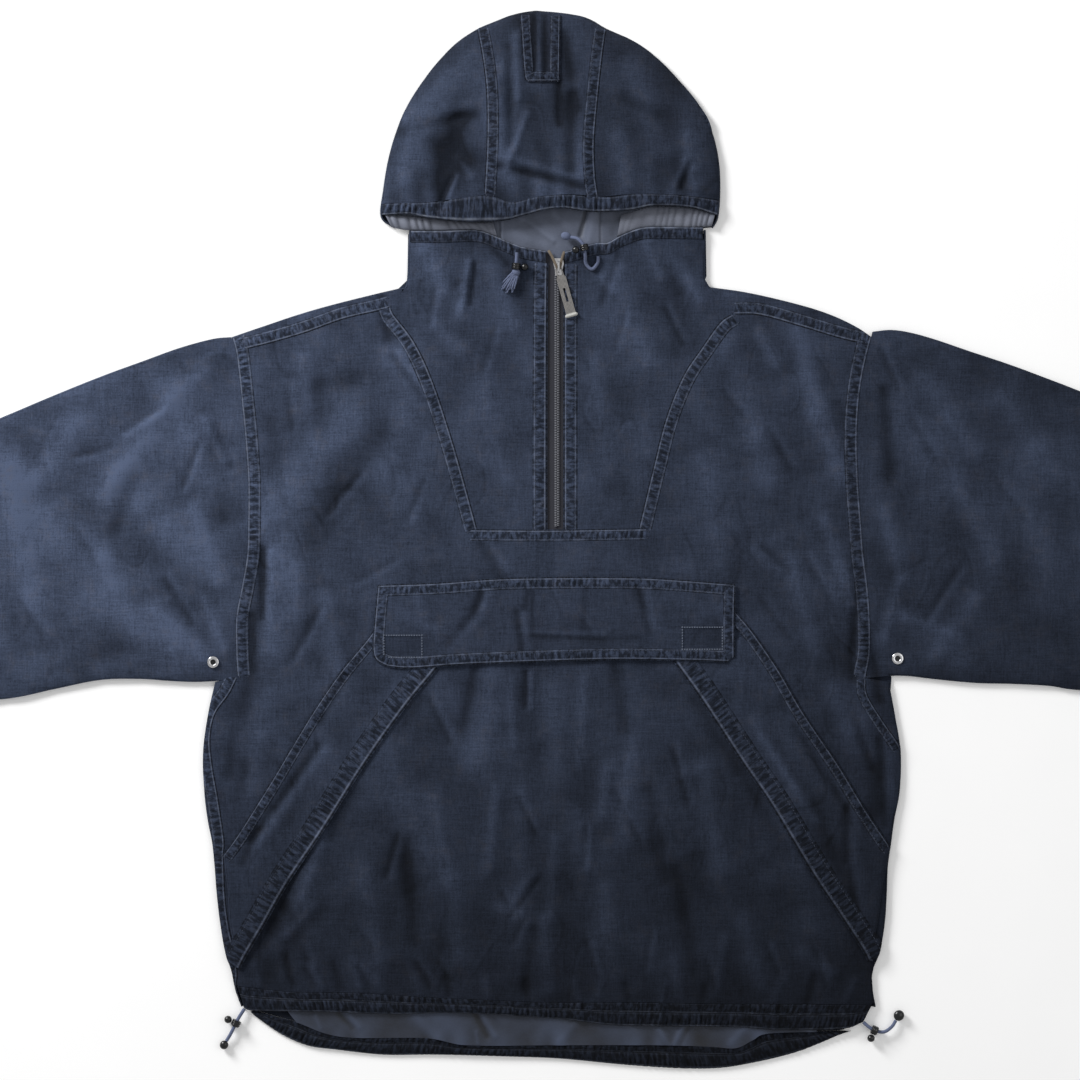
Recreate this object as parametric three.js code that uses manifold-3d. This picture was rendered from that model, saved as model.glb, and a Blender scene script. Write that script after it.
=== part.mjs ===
// Anorak pullover in washed cotton canvas, laid flat on its back with the hood open towards the viewer.
// Millimetres, +Z up. X runs to the picture's right, Y towards the hood. The origin is on the surface
// that the garment lies on, under the middle of the yoke's lower seam.
import * as THREE from 'three';
import { mergeVertices } from 'three/addons/utils/BufferGeometryUtils.js';
import Module from 'manifold-3d';

const wasm = await Module();
wasm.setup();

// Cloth and how high the laid layers stand
const WALL = 1.2;
const GAP = 0.3;
const LAYER = WALL + GAP;
const FOLD_HEIGHT = 3.4;
const BODY_RISE = 2.4;
const BODY_ROLL = 14;
const HOOD_RISE = 11.6;
const HOOD_ROLL = 70;
const SPLIT = 1.7;
const ABOVE_ALL = 60;
const PAST_END = 3;
const GRID_STEP = 38;
const BODY_COLUMNS = 16;
const HOOD_COLUMNS = 10;
const SLEEVE_COLUMNS = 6;

// Seams and edges measured from the origin
const YOKE_SEAM_Y = 10;
const ZIP_LEFT = -9;
const ZIP_RIGHT = 9.5;
const ZIP_CENTRE = 2;
const ZIP_TOP = 287;
const TAPE_REACH = 14;
const NECK_SEAM_Y = 250;
const CUFF_DEPTH = 30;
const CUFF_LEAN = 0.4;
const CUFF_TAPER = 0.12;
const CUFF_RISE = 0.3;

// Casings: gathers along each one, and how far they stand
const HEM_FRONT_WAVES = 46;
const HEM_BACK_WAVES = 44;
const BRIM_WAVES = 24;
const LIP_WAVES = 8;
const FACING_WAVES = 5;
const WAVE_STEPS = 2;
const CASING_ACROSS = [0, 0.45, 1];
const CASING_SWELL = [0, 1, 0];

// Hardware
const EYELET_OUTER = 5.8;
const EYELET_BORE = 2.6;
const EYELET_TALL = 1.5;
const CORD_RADIUS = 1.7;
const CORD_SIDES = 8;
const LOCK_BORE = 2.4;
const LOCK_RADIUS = 4.6;
const LOCK_LENGTH = 6.4;
const BUTTON_RADIUS = 3.8;
const SLIDER = {
  x: 3.6, y: 273, z: 4.6, tall: 1.6, waist: 3.4, half: 5.2, tip: 4.2, reach: 8.6,
  bridge: { half: 6, tall: 3.8, wall: 1.2, width: 1.8 },
};
const PULL = {
  x: 4.67, y: 267, z: 6.5, width: 9.6, length: 44, thick: 1.8, swing: 15.5,
  eye: { half: 3.4, hole: 2.4, top: 4.6, low: 2.6, shoulder: 5.4 },
  slot: { half: 1.2, from: 16, to: 30 },
  bar: { radius: 1.7, length: 9.6, up: 0.5 },
};
const LIP_TALL = 2.2;
const LIP_WAVE = 0.8;
const BRIM_TALL = 1.6;
const BRIM_WAVE = 1;
const FACING_BED = 4.6;
const FACING_TALL = 1.4;
const HEM_TALL = 1.6;
const HEM_WAVE = 0.7;
const HEM_BED = 3.3;
const BACK_HEM_BED = 2.4;
const BACK_HEM_TALL = 1.8;
const RING_SIDES = 12;
const LOCK_SIDES = 10;

const FOLD = 'fold';
const OPEN = 'open';

// Body sections from the neck down to the hem: the outline's left and right ends at each height
const BODY_SECTIONS = [
  { y: 310, left: -146, right: 151, ends: FOLD },
  { y: 285, left: -147, right: 150.5, ends: FOLD },
  { y: 262, left: -148, right: 150, ends: FOLD },
  { y: 253, left: -150, right: 155, ends: FOLD },
  { y: 247, left: -176, right: 195, ends: FOLD },
  { y: 236, left: -220, right: 242, ends: FOLD },
  { y: 226, left: -255, right: 274, ends: FOLD },
  { y: 214, left: -291, right: 300, ends: FOLD },
  { y: 203, left: -323, right: 316.5, ends: OPEN },
  { y: 188, left: -319, right: 312.5, ends: OPEN },
  { y: 165, left: -316, right: 307.5, ends: OPEN },
  { y: 140, left: -313.5, right: 304, ends: OPEN },
  { y: 104, left: -310, right: 302, ends: OPEN },
  { y: 60, left: -307, right: 303, ends: OPEN },
  { y: 20, left: -307, right: 306, ends: OPEN },
  { y: -14, left: -308, right: 308.5, ends: OPEN },
  { y: -45, left: -313, right: 312.5, ends: OPEN },
  { y: -78, left: -319, right: 315, ends: OPEN },
  { y: -112, left: -319, right: 315, ends: OPEN },
  { y: -135, left: -318, right: 311, ends: OPEN },
  { y: -142, left: -340, right: 334, ends: FOLD },
  { y: -174, left: -347, right: 340, ends: FOLD },
  { y: -212, left: -352, right: 346, ends: FOLD },
  { y: -250, left: -351, right: 345, ends: FOLD },
  { y: -280, left: -347.5, right: 339.5, ends: FOLD },
  { y: -303, left: -343, right: 336.5, ends: FOLD },
  { y: -327, left: -340.5, right: 333, ends: FOLD },
  { y: -353, left: -338.5, right: 332, ends: FOLD },
  { y: -383, left: -335, right: 330, ends: FOLD },
  { y: -412, left: -330, right: 325, ends: FOLD },
  { y: -432, left: -323.5, right: 317.5, ends: FOLD },
  { y: -450, left: -320, right: 318, ends: FOLD },
  { y: -467, left: -314, right: 321, ends: FOLD },
];

// Hood sections from the crown down to the corners of the face opening
const HOOD_SECTIONS = [
  { y: 529, left: -24, right: -12, ends: FOLD },
  { y: 525.5, left: -42, right: 19, ends: FOLD },
  { y: 520, left: -57, right: 37, ends: FOLD },
  { y: 512, left: -76.5, right: 51, ends: FOLD },
  { y: 500, left: -95, right: 77, ends: FOLD },
  { y: 484, left: -112, right: 100, ends: FOLD },
  { y: 462, left: -130, right: 122, ends: FOLD },
  { y: 434, left: -148, right: 145, ends: FOLD },
  { y: 408, left: -159, right: 157.5, ends: FOLD },
  { y: 380, left: -167, right: 164, ends: FOLD },
  { y: 351, left: -172, right: 165.5, ends: FOLD },
  { y: 323, left: -174.5, right: 163.5, ends: FOLD },
  { y: 312, left: -161, right: 158, ends: FOLD },
];

// Sleeve sections from inside the armhole out to the cuff: the ends of each on the upper and lower fold
const SLEEVE_LEFT = [
  { topX: -310, topY: 207.4, lowX: -306, lowY: -134 },
  { topX: -324, topY: 203, lowX: -338, lowY: -141 },
  { topX: -343, topY: 201, lowX: -360, lowY: -142 },
  { topX: -376, topY: 192, lowX: -385, lowY: -141 },
  { topX: -412, topY: 179, lowX: -415, lowY: -139 },
  { topX: -453, topY: 164, lowX: -455, lowY: -140 },
  { topX: -504, topY: 143.5, lowX: -500, lowY: -149 },
  { topX: -555, topY: 122, lowX: -550, lowY: -159 },
  { topX: -640, topY: 88, lowX: -622, lowY: -162 },
  { topX: -730, topY: 52, lowX: -706, lowY: -161 },
  { topX: -800, topY: 24, lowX: -772, lowY: -158 },
  { topX: -856, topY: 1.5, lowX: -826, lowY: -154.5 },
];
const SLEEVE_RIGHT = [
  { topX: 303, topY: 212.2, lowX: 300, lowY: -134 },
  { topX: 318, topY: 208.5, lowX: 332, lowY: -136 },
  { topX: 340, topY: 210, lowX: 352, lowY: -136 },
  { topX: 371, topY: 203.5, lowX: 378, lowY: -139 },
  { topX: 416, topY: 188.5, lowX: 420, lowY: -143 },
  { topX: 455, topY: 175.5, lowX: 458, lowY: -144 },
  { topX: 494, topY: 161, lowX: 495, lowY: -146 },
  { topX: 525, topY: 149, lowX: 522, lowY: -150 },
  { topX: 610, topY: 115, lowX: 600, lowY: -155 },
  { topX: 700, topY: 79, lowX: 685, lowY: -152 },
  { topX: 790, topY: 43, lowX: 765, lowY: -146 },
  { topX: 853, topY: 18, lowX: 823, lowY: -139 },
];

// The largest creases and swells: a soft ridge (up) or trough (down) along each line
const CREASES = [
  { fromX: -161, fromY: 183, toX: -131, toY: 147, width: 12, up: 1.6 },
  { fromX: -178, fromY: 105, toX: -245, toY: 4, width: 17, up: -1.3 },
  { fromX: -210, fromY: 120, toX: -275, toY: 30, width: 22, up: 1.5 },
  { fromX: -291, fromY: -11, toX: -300, toY: -100, width: 12, up: -1.4 },
  { fromX: -276, fromY: -20, toX: -284, toY: -110, width: 16, up: 1.7 },
  { fromX: 245, fromY: 206, toX: 266, toY: 126, width: 12, up: 2.4 },
  { fromX: 266, fromY: 126, toX: 290, toY: 59, width: 12, up: 2.2 },
  { fromX: 268, fromY: 172, toX: 294, toY: 90, width: 9, up: -1.1 },
  { fromX: 176, fromY: 200, toX: 142, toY: 164, width: 12, up: 1.3 },
  { fromX: 285, fromY: -30, toX: 305, toY: -112, width: 14, up: 1.5 },
  { fromX: -34, fromY: -250, toX: -34, toY: -377, width: 10, up: 1.5 },
  { fromX: 20, fromY: -275, toX: 32, toY: -328, width: 10, up: 1.2 },
  { fromX: -168, fromY: -209, toX: -115, toY: -330, width: 20, up: 1.4 },
  { fromX: 90, fromY: -180, toX: 60, toY: -300, width: 26, up: 1.3 },
  { fromX: 232, fromY: -262, toX: 256, toY: -385, width: 14, up: 1.6 },
  { fromX: -262, fromY: -390, toX: -285, toY: -430, width: 14, up: -1.2 },
  { fromX: 60, fromY: -400, toX: 190, toY: -412, width: 24, up: 1.2 },
  { fromX: -385, fromY: 150, toX: -345, toY: 60, width: 18, up: 1.8 },
  { fromX: -430, fromY: 60, toX: -365, toY: -20, width: 20, up: 1.6 },
  { fromX: -505, fromY: 22, toX: -485, toY: -8, width: 16, up: 1.5 },
  { fromX: -470, fromY: -60, toX: -380, toY: -105, width: 18, up: 1.5 },
  { fromX: -660, fromY: 40, toX: -620, toY: -90, width: 22, up: 1.8 },
  { fromX: -760, fromY: -20, toX: -735, toY: -120, width: 20, up: 1.6 },
  { fromX: 350, fromY: 140, toX: 380, toY: 30, width: 20, up: 1.6 },
  { fromX: 350, fromY: -77, toX: 405, toY: -120, width: 14, up: 1.5 },
  { fromX: 470, fromY: 80, toX: 500, toY: -60, width: 24, up: 1.7 },
  { fromX: 640, fromY: 60, toX: 610, toY: -80, width: 22, up: 1.8 },
  { fromX: 745, fromY: 20, toX: 730, toY: -100, width: 20, up: 1.6 },
];

// Front edge of the cloth that the back panel wraps to: side seam, armhole, shoulder seam and neck
const FRONT_EDGE = [
  [-325, -480], [-318, -432], [-321, -412], [-327, -383], [-330.4, -353], [-330, -318],
  [-337, -259], [-343, -224], [-345, -198], [-340, -174], [-326, -154], [-316, -139], [-345, -130],
  [-340, 184], [-318, 189], [-284, 197.5], [-248, 208], [-212, 221], [-178, 229], [-165, 232],
  [-157, 243], [-160, 262], [-165, 335], [170, 336], [168, 264], [164, 243], [178, 228],
  [205, 225], [245, 214], [285, 202], [314, 195.5], [345, 190], [340, -128], [309, -141],
  [311, -155], [327, -180], [341.5, -201], [365, -214], [362, -481],
];

// Yoke with the front of the neck: seam line from the left shoulder round to the right one
const YOKE_SEAM = [
  [-164, 233], [-162, 226], [-141, 198], [-123, 160], [-105, 106], [-91, 58],
  [-78, YOKE_SEAM_Y],
  [84, YOKE_SEAM_Y + 1], [99, 74], [111, 120.5], [128, 163], [147, 192], [165, 217], [178, 226],
  [176, 242], [175, 264], [180, 345], [-180, 344], [-175, 262], [-172, 243],
];

// Pocket front: sewn line under the flap, the outer seams and the top of the hem casing
const POCKET_TOP_Y = -72;
const OUTER_SEAM_LEFT = [
  [-171, POCKET_TOP_Y], [-183, -94], [-213, -131], [-238, -167], [-259, -201], [-281, -238],
  [-299, -267], [-317.5, -296], [-332, -316],
];
const OUTER_SEAM_RIGHT = [
  [180, POCKET_TOP_Y], [197, -92], [223, -130], [248, -173], [283, -225], [309, -268], [340, -315],
];
const HEM_TOP = [
  [-318, -446], [-264, -451.5], [-200, -452.5], [-129, -457], [-60, -460], [5, -462.5],
  [82, -462], [155, -463.5], [264, -464], [317, -464.8],
];

// Pocket strips: the hemmed inner edge of each, free from the flap to the hem
const STRIP_EDGE_LEFT = [
  [-108, -108], [-120, -129], [-150, -166], [-191, -224], [-232, -289], [-267, -341.5],
  [-293, -387], [-309.5, -415], [-316, -428],
];
const STRIP_EDGE_RIGHT = [
  [110, -106], [120, -121], [147, -159], [188, -222], [214, -260], [240, -303],
  [260.5, -337], [286, -375], [308, -409], [314, -421],
];
const STRIP_TOP_Y = -100;
const STRIP_SIDE_LEFT = [[-325, -385], [-327.5, -350], [-328, -320]];
const STRIP_SIDE_RIGHT = [[322, -385], [327, -350], [328, -316]];

const FLAP_EDGE = [
  [-176.6, -45.5], [-180, -84], [-181.5, -107], [-178.4, -119.5], [-167, -126], [-144, -127.7],
  [-93, -124], [-16, -121], [60, -119], [136, -120], [173, -121.3], [178.7, -117], [179.5, -44.7],
  [124, -40.4], [73, -38], [-42, -38.6], [-119, -43.5],
];

// Hood: seams of the middle panel, the stitched line of the brim and the adjuster tab
const HOOD_SEAM_LEFT = [
  [-80, 545], [-77.6, 512], [-72, 481], [-68, 446], [-67.6, 398], [-70, 351], [-69, 320], [-68, 240],
];
const HOOD_SEAM_RIGHT = [
  [54, 545], [51, 509], [47.4, 486], [43, 446], [39, 398], [40, 363], [43, 332], [45, 240],
];
const BRIM_LINE = [
  [-173, 336], [-126, 337], [-72, 344], [-43, 337], [-20, 342], [16, 344.5], [51, 342], [82, 345],
  [122, 344], [164, 339.5],
];
const BRIM_EDGE = [
  [-173, 325], [-145, 325.5], [-128, 322], [-91, 318], [-51, 319.5], [-32, 324], [-8, 330],
  [11, 331], [35, 328], [72, 329], [98, 333.5], [134, 332.4], [162, 325],
];
const TAB_EDGE = [[-34, 522], [-30.4, 467], [-28, 457], [4, 457.6], [4.5, 518]];
const LIP_LEFT = [
  [-144, 309.2], [-114, 309], [-79, 310], [-60, 304], [-46, 298], [-32, 293], [-9.4, 289],
];
const LIP_RIGHT = [
  [9.9, 288], [23, 292], [41, 297], [53, 297.5], [65, 304], [82, 311], [98, 313], [148, 312.6],
];
const LIP_DEPTH = 11;
const CASING_GAP = 3 * GAP;
const FACING_LEFT = {
  over: [[-169, 324.4], [-128, 320.8], [-91, 316.8], [-74, 317.4]],
  under: [[-160, 314], [-138, 310.8], [-104, 310.4], [-72, 311.6]],
};
const FACING_RIGHT = {
  over: [[84, 328], [98, 331], [134, 330.4], [160, 323.6]],
  under: [[80, 313.6], [98, 315], [134, 315], [156, 315.6]],
};

// Back hem: inner and outer edge of the gathered casing, and the lining that shows above it
const HEM_EDGE_FRONT = [
  [-310.5, -468.5], [-298, -471], [-233, -471.5], [-165, -474], [-94, -473], [5, -479], [58, -485], [106, -486],
  [179, -487], [227, -490], [288, -488.5], [308, -482],
];
const BACK_CASING_INNER = [
  [-301, -470], [-282, -476], [-259, -482], [-214, -496.6], [-129, -498], [-87, -505], [5, -505],
  [106, -505], [155, -506.6], [181, -508], [198, -500], [212, -493.4], [262, -491.6], [288, -490.8],
];
const BACK_CASING_OUTER = [
  [-305, -472], [-297, -479], [-273, -495], [-247, -506], [-219, -510], [-171.5, -515], [-120, -515],
  [-46, -517], [5, -519], [70, -525], [126, -528.5], [167, -528], [203, -522], [239.5, -513],
  [264, -504], [283, -496], [296, -491.4],
];
const HEM_LINING_EDGE = [
  [-250, -462], [-262, -478], [-212, -493], [-129, -494.4], [-87, -501.4], [50, -501.6], [155, -503],
  [179, -503.6], [207, -489], [240, -470],
];
const HOOD_LINING_EDGE = [
  [-163, 342], [-160, 322], [-136, 313], [-130, 280], [132, 281], [139, 317], [152, 324], [154, 350],
];

// Cord routes, chosen by hand: from the casing, over the cloth or down to the table, to the knot or knob
const CORDS = [
  {
    name: 'hood_cord_left',
    route: [[-38, 287, 11], [-38.5, 279, 11], [-39.2, 270, 10.9], [-41.5, 262, 9.6], [-45.5, 256, 8.2]],
    lock: { name: 'hood_lock_left', share: 0.42, side: -1 },
    end: { name: 'hood_knot_left', colour: 'cord', length: 15, width: 11, tall: 6 },
  },
  {
    name: 'hood_cord_right',
    route: [
      [43, 283.4, 8.4], [42.6, 277, 7.9], [37, 270.6, 7.9], [31, 276, 8.4], [30, 285, 12.6],
      [28.4, 294, 13.6], [22.5, 300.5, 12.4], [16, 302.4, 9],
    ],
    lock: { name: 'hood_lock_right', share: 0.68, side: -1 },
    end: { name: 'hood_knot_right', colour: 'cord', length: 10, width: 8, tall: 6 },
  },
  {
    name: 'hem_cord_left',
    route: [
      [-310.7, -469, 4.1], [-316.4, -478, 4.8], [-320.6, -486.4, 4.8], [-324.8, -494.6, 4.6],
      [-328.6, -501, 3.6],
    ],
    lock: { name: 'hem_lock_left', share: 0.45, side: 1 },
    end: { name: 'hem_knob_left', colour: 'plastic', length: 9, width: 8.6, tall: 6.8 },
  },
  {
    name: 'hem_cord_right',
    route: [
      [308.4, -482.3, 4.1], [315.4, -488, 4.8], [322.6, -491.4, 4.8], [330, -491.6, 4.8],
      [337, -486.6, 4.5], [341, -480.6, 3.7],
    ],
    lock: { name: 'hem_lock_right', share: 0.34, side: 1 },
    end: { name: 'hem_knob_right', colour: 'plastic', length: 11, width: 10.6, tall: 7 },
  },
];

const EYELETS = [
  { name: 'eyelet_left', x: -341.7, y: -122 },
  { name: 'eyelet_right', x: 342.5, y: -118.4 },
];

const COLOURS = {
  canvas: { color: 0x33394a, roughness: 0.9, metalness: 0 },
  canvasDark: { color: 0x282e3d, roughness: 0.9, metalness: 0 },
  canvasLight: { color: 0x474f61, roughness: 0.9, metalness: 0 },
  lining: { color: 0x565f76, roughness: 0.75, metalness: 0 },
  tape: { color: 0x2e3440, roughness: 0.85, metalness: 0 },
  metal: { color: 0xb8b8ba, roughness: 0.3, metalness: 1 },
  pull: { color: 0x6f6f72, roughness: 0.8, metalness: 0 },
  plastic: { color: 0x0c0d10, roughness: 0.3, metalness: 0 },
  cord: { color: 0x7484ae, roughness: 0.9, metalness: 0 },
};

const garment = new THREE.Group();

function addPiece(name, shape, colour) {
  const geometry = shape.isBufferGeometry ? shape : geometryOf(shape);
  const mesh = new THREE.Mesh(geometry, new THREE.MeshStandardMaterial(COLOURS[colour]));
  mesh.name = name;
  garment.add(mesh);
}

// Solids and meshes

function solidOf(geometry) {
  const bare = geometry.clone();
  bare.deleteAttribute('normal');
  bare.deleteAttribute('uv');
  const merged = mergeVertices(bare, 1e-4);
  return new wasm.Manifold(new wasm.Mesh({
    numProp: 3,
    vertProperties: new Float32Array(merged.attributes.position.array),
    triVerts: new Uint32Array(merged.index.array),
  }));
}

function geometryOf(solid) {
  const mesh = solid.getMesh();
  const geometry = new THREE.BufferGeometry();
  const positions = new Float32Array(mesh.numVert * 3);
  for (let v = 0; v < mesh.numVert; v += 1) {
    for (let axis = 0; axis < 3; axis += 1) {
      positions[v * 3 + axis] = mesh.vertProperties[v * mesh.numProp + axis];
    }
  }
  geometry.setAttribute('position', new THREE.BufferAttribute(positions, 3));
  geometry.setIndex(new THREE.BufferAttribute(new Uint32Array(mesh.triVerts), 1));
  geometry.computeVertexNormals();
  return geometry;
}

function meshOf(points, triangles) {
  const geometry = new THREE.BufferGeometry();
  geometry.setAttribute('position', new THREE.BufferAttribute(new Float32Array(points.flat()), 3));
  geometry.setIndex(triangles.flat());
  geometry.computeVertexNormals();
  return geometry;
}

function outlineShape(outline) {
  return new THREE.Shape(outline.map(([x, y]) => new THREE.Vector2(x, y)));
}

// Upright prism over a plan outline
function prism(outline, low = SPLIT, high = ABOVE_ALL) {
  const shape = outlineShape(outline);
  const geometry = new THREE.ExtrudeGeometry(shape, { depth: high - low, bevelEnabled: false });
  geometry.translate(0, 0, low);
  return solidOf(geometry);
}

// Plan outline moved outwards by a distance, corners kept sharp
function grown(outline, distance) {
  const points = outline.map(([x, y]) => new THREE.Vector2(x, y));
  const side = Math.sign(THREE.ShapeUtils.area(points));
  return points.map((point, k) => {
    const before = points[(k + points.length - 1) % points.length];
    const after = points[(k + 1) % points.length];
    const corner = offsetCorner(before, point, after, side * distance, side * distance);
    return [corner.x, corner.y];
  });
}

// Where two edges meet once each has moved to its right by its own distance
function offsetCorner(before, point, after, first, second) {
  const inward = point.clone().sub(before).normalize();
  const outward = after.clone().sub(point).normalize();
  const normalIn = new THREE.Vector2(inward.y, -inward.x);
  const normalOut = new THREE.Vector2(outward.y, -outward.x);
  const turn = normalIn.x * normalOut.y - normalIn.y * normalOut.x;
  if (Math.abs(turn) < 0.08) {
    const mean = normalIn.add(normalOut).normalize();
    return point.clone().addScaledVector(mean, (first + second) / 2);
  }
  const dx = (first * normalOut.y - second * normalIn.y) / turn;
  const dy = (second * normalIn.x - first * normalOut.x) / turn;
  const shift = new THREE.Vector2(dx, dy);
  const most = 2.5 * Math.max(Math.abs(first), Math.abs(second));
  return point.clone().add(shift.clampLength(0, most));
}

// Height of the laid cloth

function distanceToLine(x, y, line) {
  let best = Infinity;
  for (let k = 0; k + 1 < line.length; k += 1) {
    best = Math.min(best, distanceToStretch(x, y, line[k], line[k + 1]));
  }
  return best;
}

function distanceToStretch(x, y, [fromX, fromY], [toX, toY]) {
  const runX = toX - fromX;
  const runY = toY - fromY;
  const along = ((x - fromX) * runX + (y - fromY) * runY) / (runX * runX + runY * runY);
  const t = Math.min(1, Math.max(0, along));
  return Math.hypot(x - fromX - t * runX, y - fromY - t * runY);
}

function ends(sections, side, wanted) {
  return sections.filter(wanted).map((row) => [row[side], row.y]);
}

function sleeveEdge(sections, edge) {
  return sections.slice(1).reverse().map((row) => [row[`${edge}X`], row[`${edge}Y`]]);
}

const upperFold = (row) => row.y > 203;
const sideFold = (row) => row.y < -140;
const BODY_FOLDS = [
  [...sleeveEdge(SLEEVE_LEFT, 'top'), ...ends(BODY_SECTIONS, 'left', upperFold).reverse()],
  [...sleeveEdge(SLEEVE_RIGHT, 'top'), ...ends(BODY_SECTIONS, 'right', upperFold).reverse()],
  [...sleeveEdge(SLEEVE_LEFT, 'low'), ...ends(BODY_SECTIONS, 'left', sideFold)],
  [...sleeveEdge(SLEEVE_RIGHT, 'low'), ...ends(BODY_SECTIONS, 'right', sideFold)],
];
const HOOD_FOLD = [
  ...ends(HOOD_SECTIONS, 'left', () => true).reverse(),
  ...ends(HOOD_SECTIONS, 'right', () => true),
];

// A quarter round, from 0 at the fold to 1 at the end of its roll
function roll(distance, reach) {
  const left = Math.max(0, 1 - distance / reach);
  return Math.sqrt(1 - left * left);
}

function creaseHeight(x, y) {
  return CREASES.reduce((sum, crease) => {
    const off = distanceToStretch(x, y, [crease.fromX, crease.fromY], [crease.toX, crease.toY]);
    return sum + crease.up * Math.exp(-((off / crease.width) ** 2));
  }, 0);
}

function bodyHeight(x, y) {
  const off = Math.min(...BODY_FOLDS.map((line) => distanceToLine(x, y, line)));
  const lift = roll(off, BODY_ROLL);
  return FOLD_HEIGHT + lift * (BODY_RISE + creaseHeight(x, y));
}

function hoodHeight(x, y) {
  const off = distanceToLine(x, y, HOOD_FOLD);
  const ripple = 0.9 * Math.sin(x / 17 + Math.sin(y / 40)) * roll(off, HOOD_ROLL) ** 2;
  return FOLD_HEIGHT + roll(off, HOOD_ROLL) * HOOD_RISE + ripple;
}

// Rows of plan points

const EDGE_STEPS = [0, 4, 14];

// Points from one fold to the other, closer together beside each fold
function rowBetween(start, end, columns, startLean = 1, endLean = 1) {
  const from = new THREE.Vector2(...start);
  const to = new THREE.Vector2(...end);
  const length = from.distanceTo(to);
  const share = Math.min(1, length / (80 * (startLean + endLean)));
  const near = EDGE_STEPS.map((step) => step * startLean * share);
  const far = EDGE_STEPS.map((step) => length - step * endLean * share).reverse();
  const first = near[near.length - 1];
  const stretch = far[0] - first;
  const between = [];
  for (let k = 1; k <= columns; k += 1) {
    between.push(first + (stretch * k) / (columns + 1));
  }
  return [...near, ...between, ...far].map((along) => {
    const point = from.clone().lerp(to, along / length);
    return [point.x, point.y];
  });
}

// Sections with extra ones between where they stand further apart than the grid's step
function closer(sections) {
  const out = [];
  sections.forEach((row, k) => {
    out.push(row);
    const next = sections[k + 1];
    if (next === undefined) return;
    const steps = Math.ceil((row.y - next.y) / GRID_STEP);
    for (let s = 1; s < steps; s += 1) {
      const t = s / steps;
      out.push({
        y: THREE.MathUtils.lerp(row.y, next.y, t),
        left: THREE.MathUtils.lerp(row.left, next.left, t),
        right: THREE.MathUtils.lerp(row.right, next.right, t),
        ends: row.ends === OPEN && next.ends === OPEN ? OPEN : FOLD,
      });
    }
  });
  return out;
}

const MOST_LEAN = 3.5;

// How much further apart points lie along a row where the outline slants across it
function lean(sections, k, side) {
  const before = sections[Math.max(0, k - 1)];
  const after = sections[Math.min(sections.length - 1, k + 1)];
  const rise = Math.abs(after.y - before.y);
  const run = Math.abs(after[side] - before[side]);
  return Math.min(MOST_LEAN, Math.hypot(rise, run) / rise);
}

function levelRows(sections, columns) {
  return sections.map((row, k) => {
    const leans = row.ends === OPEN ? [1, 1] : [lean(sections, k, 'left'), lean(sections, k, 'right')];
    return rowBetween([row.left, row.y], [row.right, row.y], columns, ...leans);
  });
}

function sleeveRows(sections) {
  return sections.map((row) => rowBetween([row.topX, row.topY], [row.lowX, row.lowY], SLEEVE_COLUMNS));
}

// The indices of a grid's edge, once round
function rim(rowCount, columnCount) {
  const loop = [];
  for (let j = 0; j < columnCount; j += 1) loop.push([0, j]);
  for (let i = 1; i < rowCount; i += 1) loop.push([i, columnCount - 1]);
  for (let j = columnCount - 2; j >= 0; j -= 1) loop.push([rowCount - 1, j]);
  for (let i = rowCount - 2; i >= 1; i -= 1) loop.push([i, 0]);
  return loop;
}

// The same rows for the inside of the wall: in by the wall along folds, out past each open end
function insideRows(rows, openRow, openFirst, openLast) {
  const loop = rim(rows.length, rows[0].length);
  const points = loop.map(([i, j]) => new THREE.Vector2(...rows[i][j]));
  const side = Math.sign(THREE.ShapeUtils.area(points));
  const distanceOf = ([i, j], [nextI, nextJ]) => {
    const across = i === nextI && j !== nextJ;
    let open = openRow(i) && openRow(nextI);
    if (across) open = i === 0 ? openFirst : openLast;
    return side * (open ? PAST_END : -WALL);
  };
  const inside = rows.map((row) => row.map((point) => [...point]));
  loop.forEach(([i, j], k) => {
    const before = (k + loop.length - 1) % loop.length;
    const after = (k + 1) % loop.length;
    const first = distanceOf(loop[before], loop[k]);
    const second = distanceOf(loop[k], loop[after]);
    const corner = offsetCorner(points[before], points[k], points[after], first, second);
    inside[i][j] = [corner.x, corner.y];
  });
  return inside;
}

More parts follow.
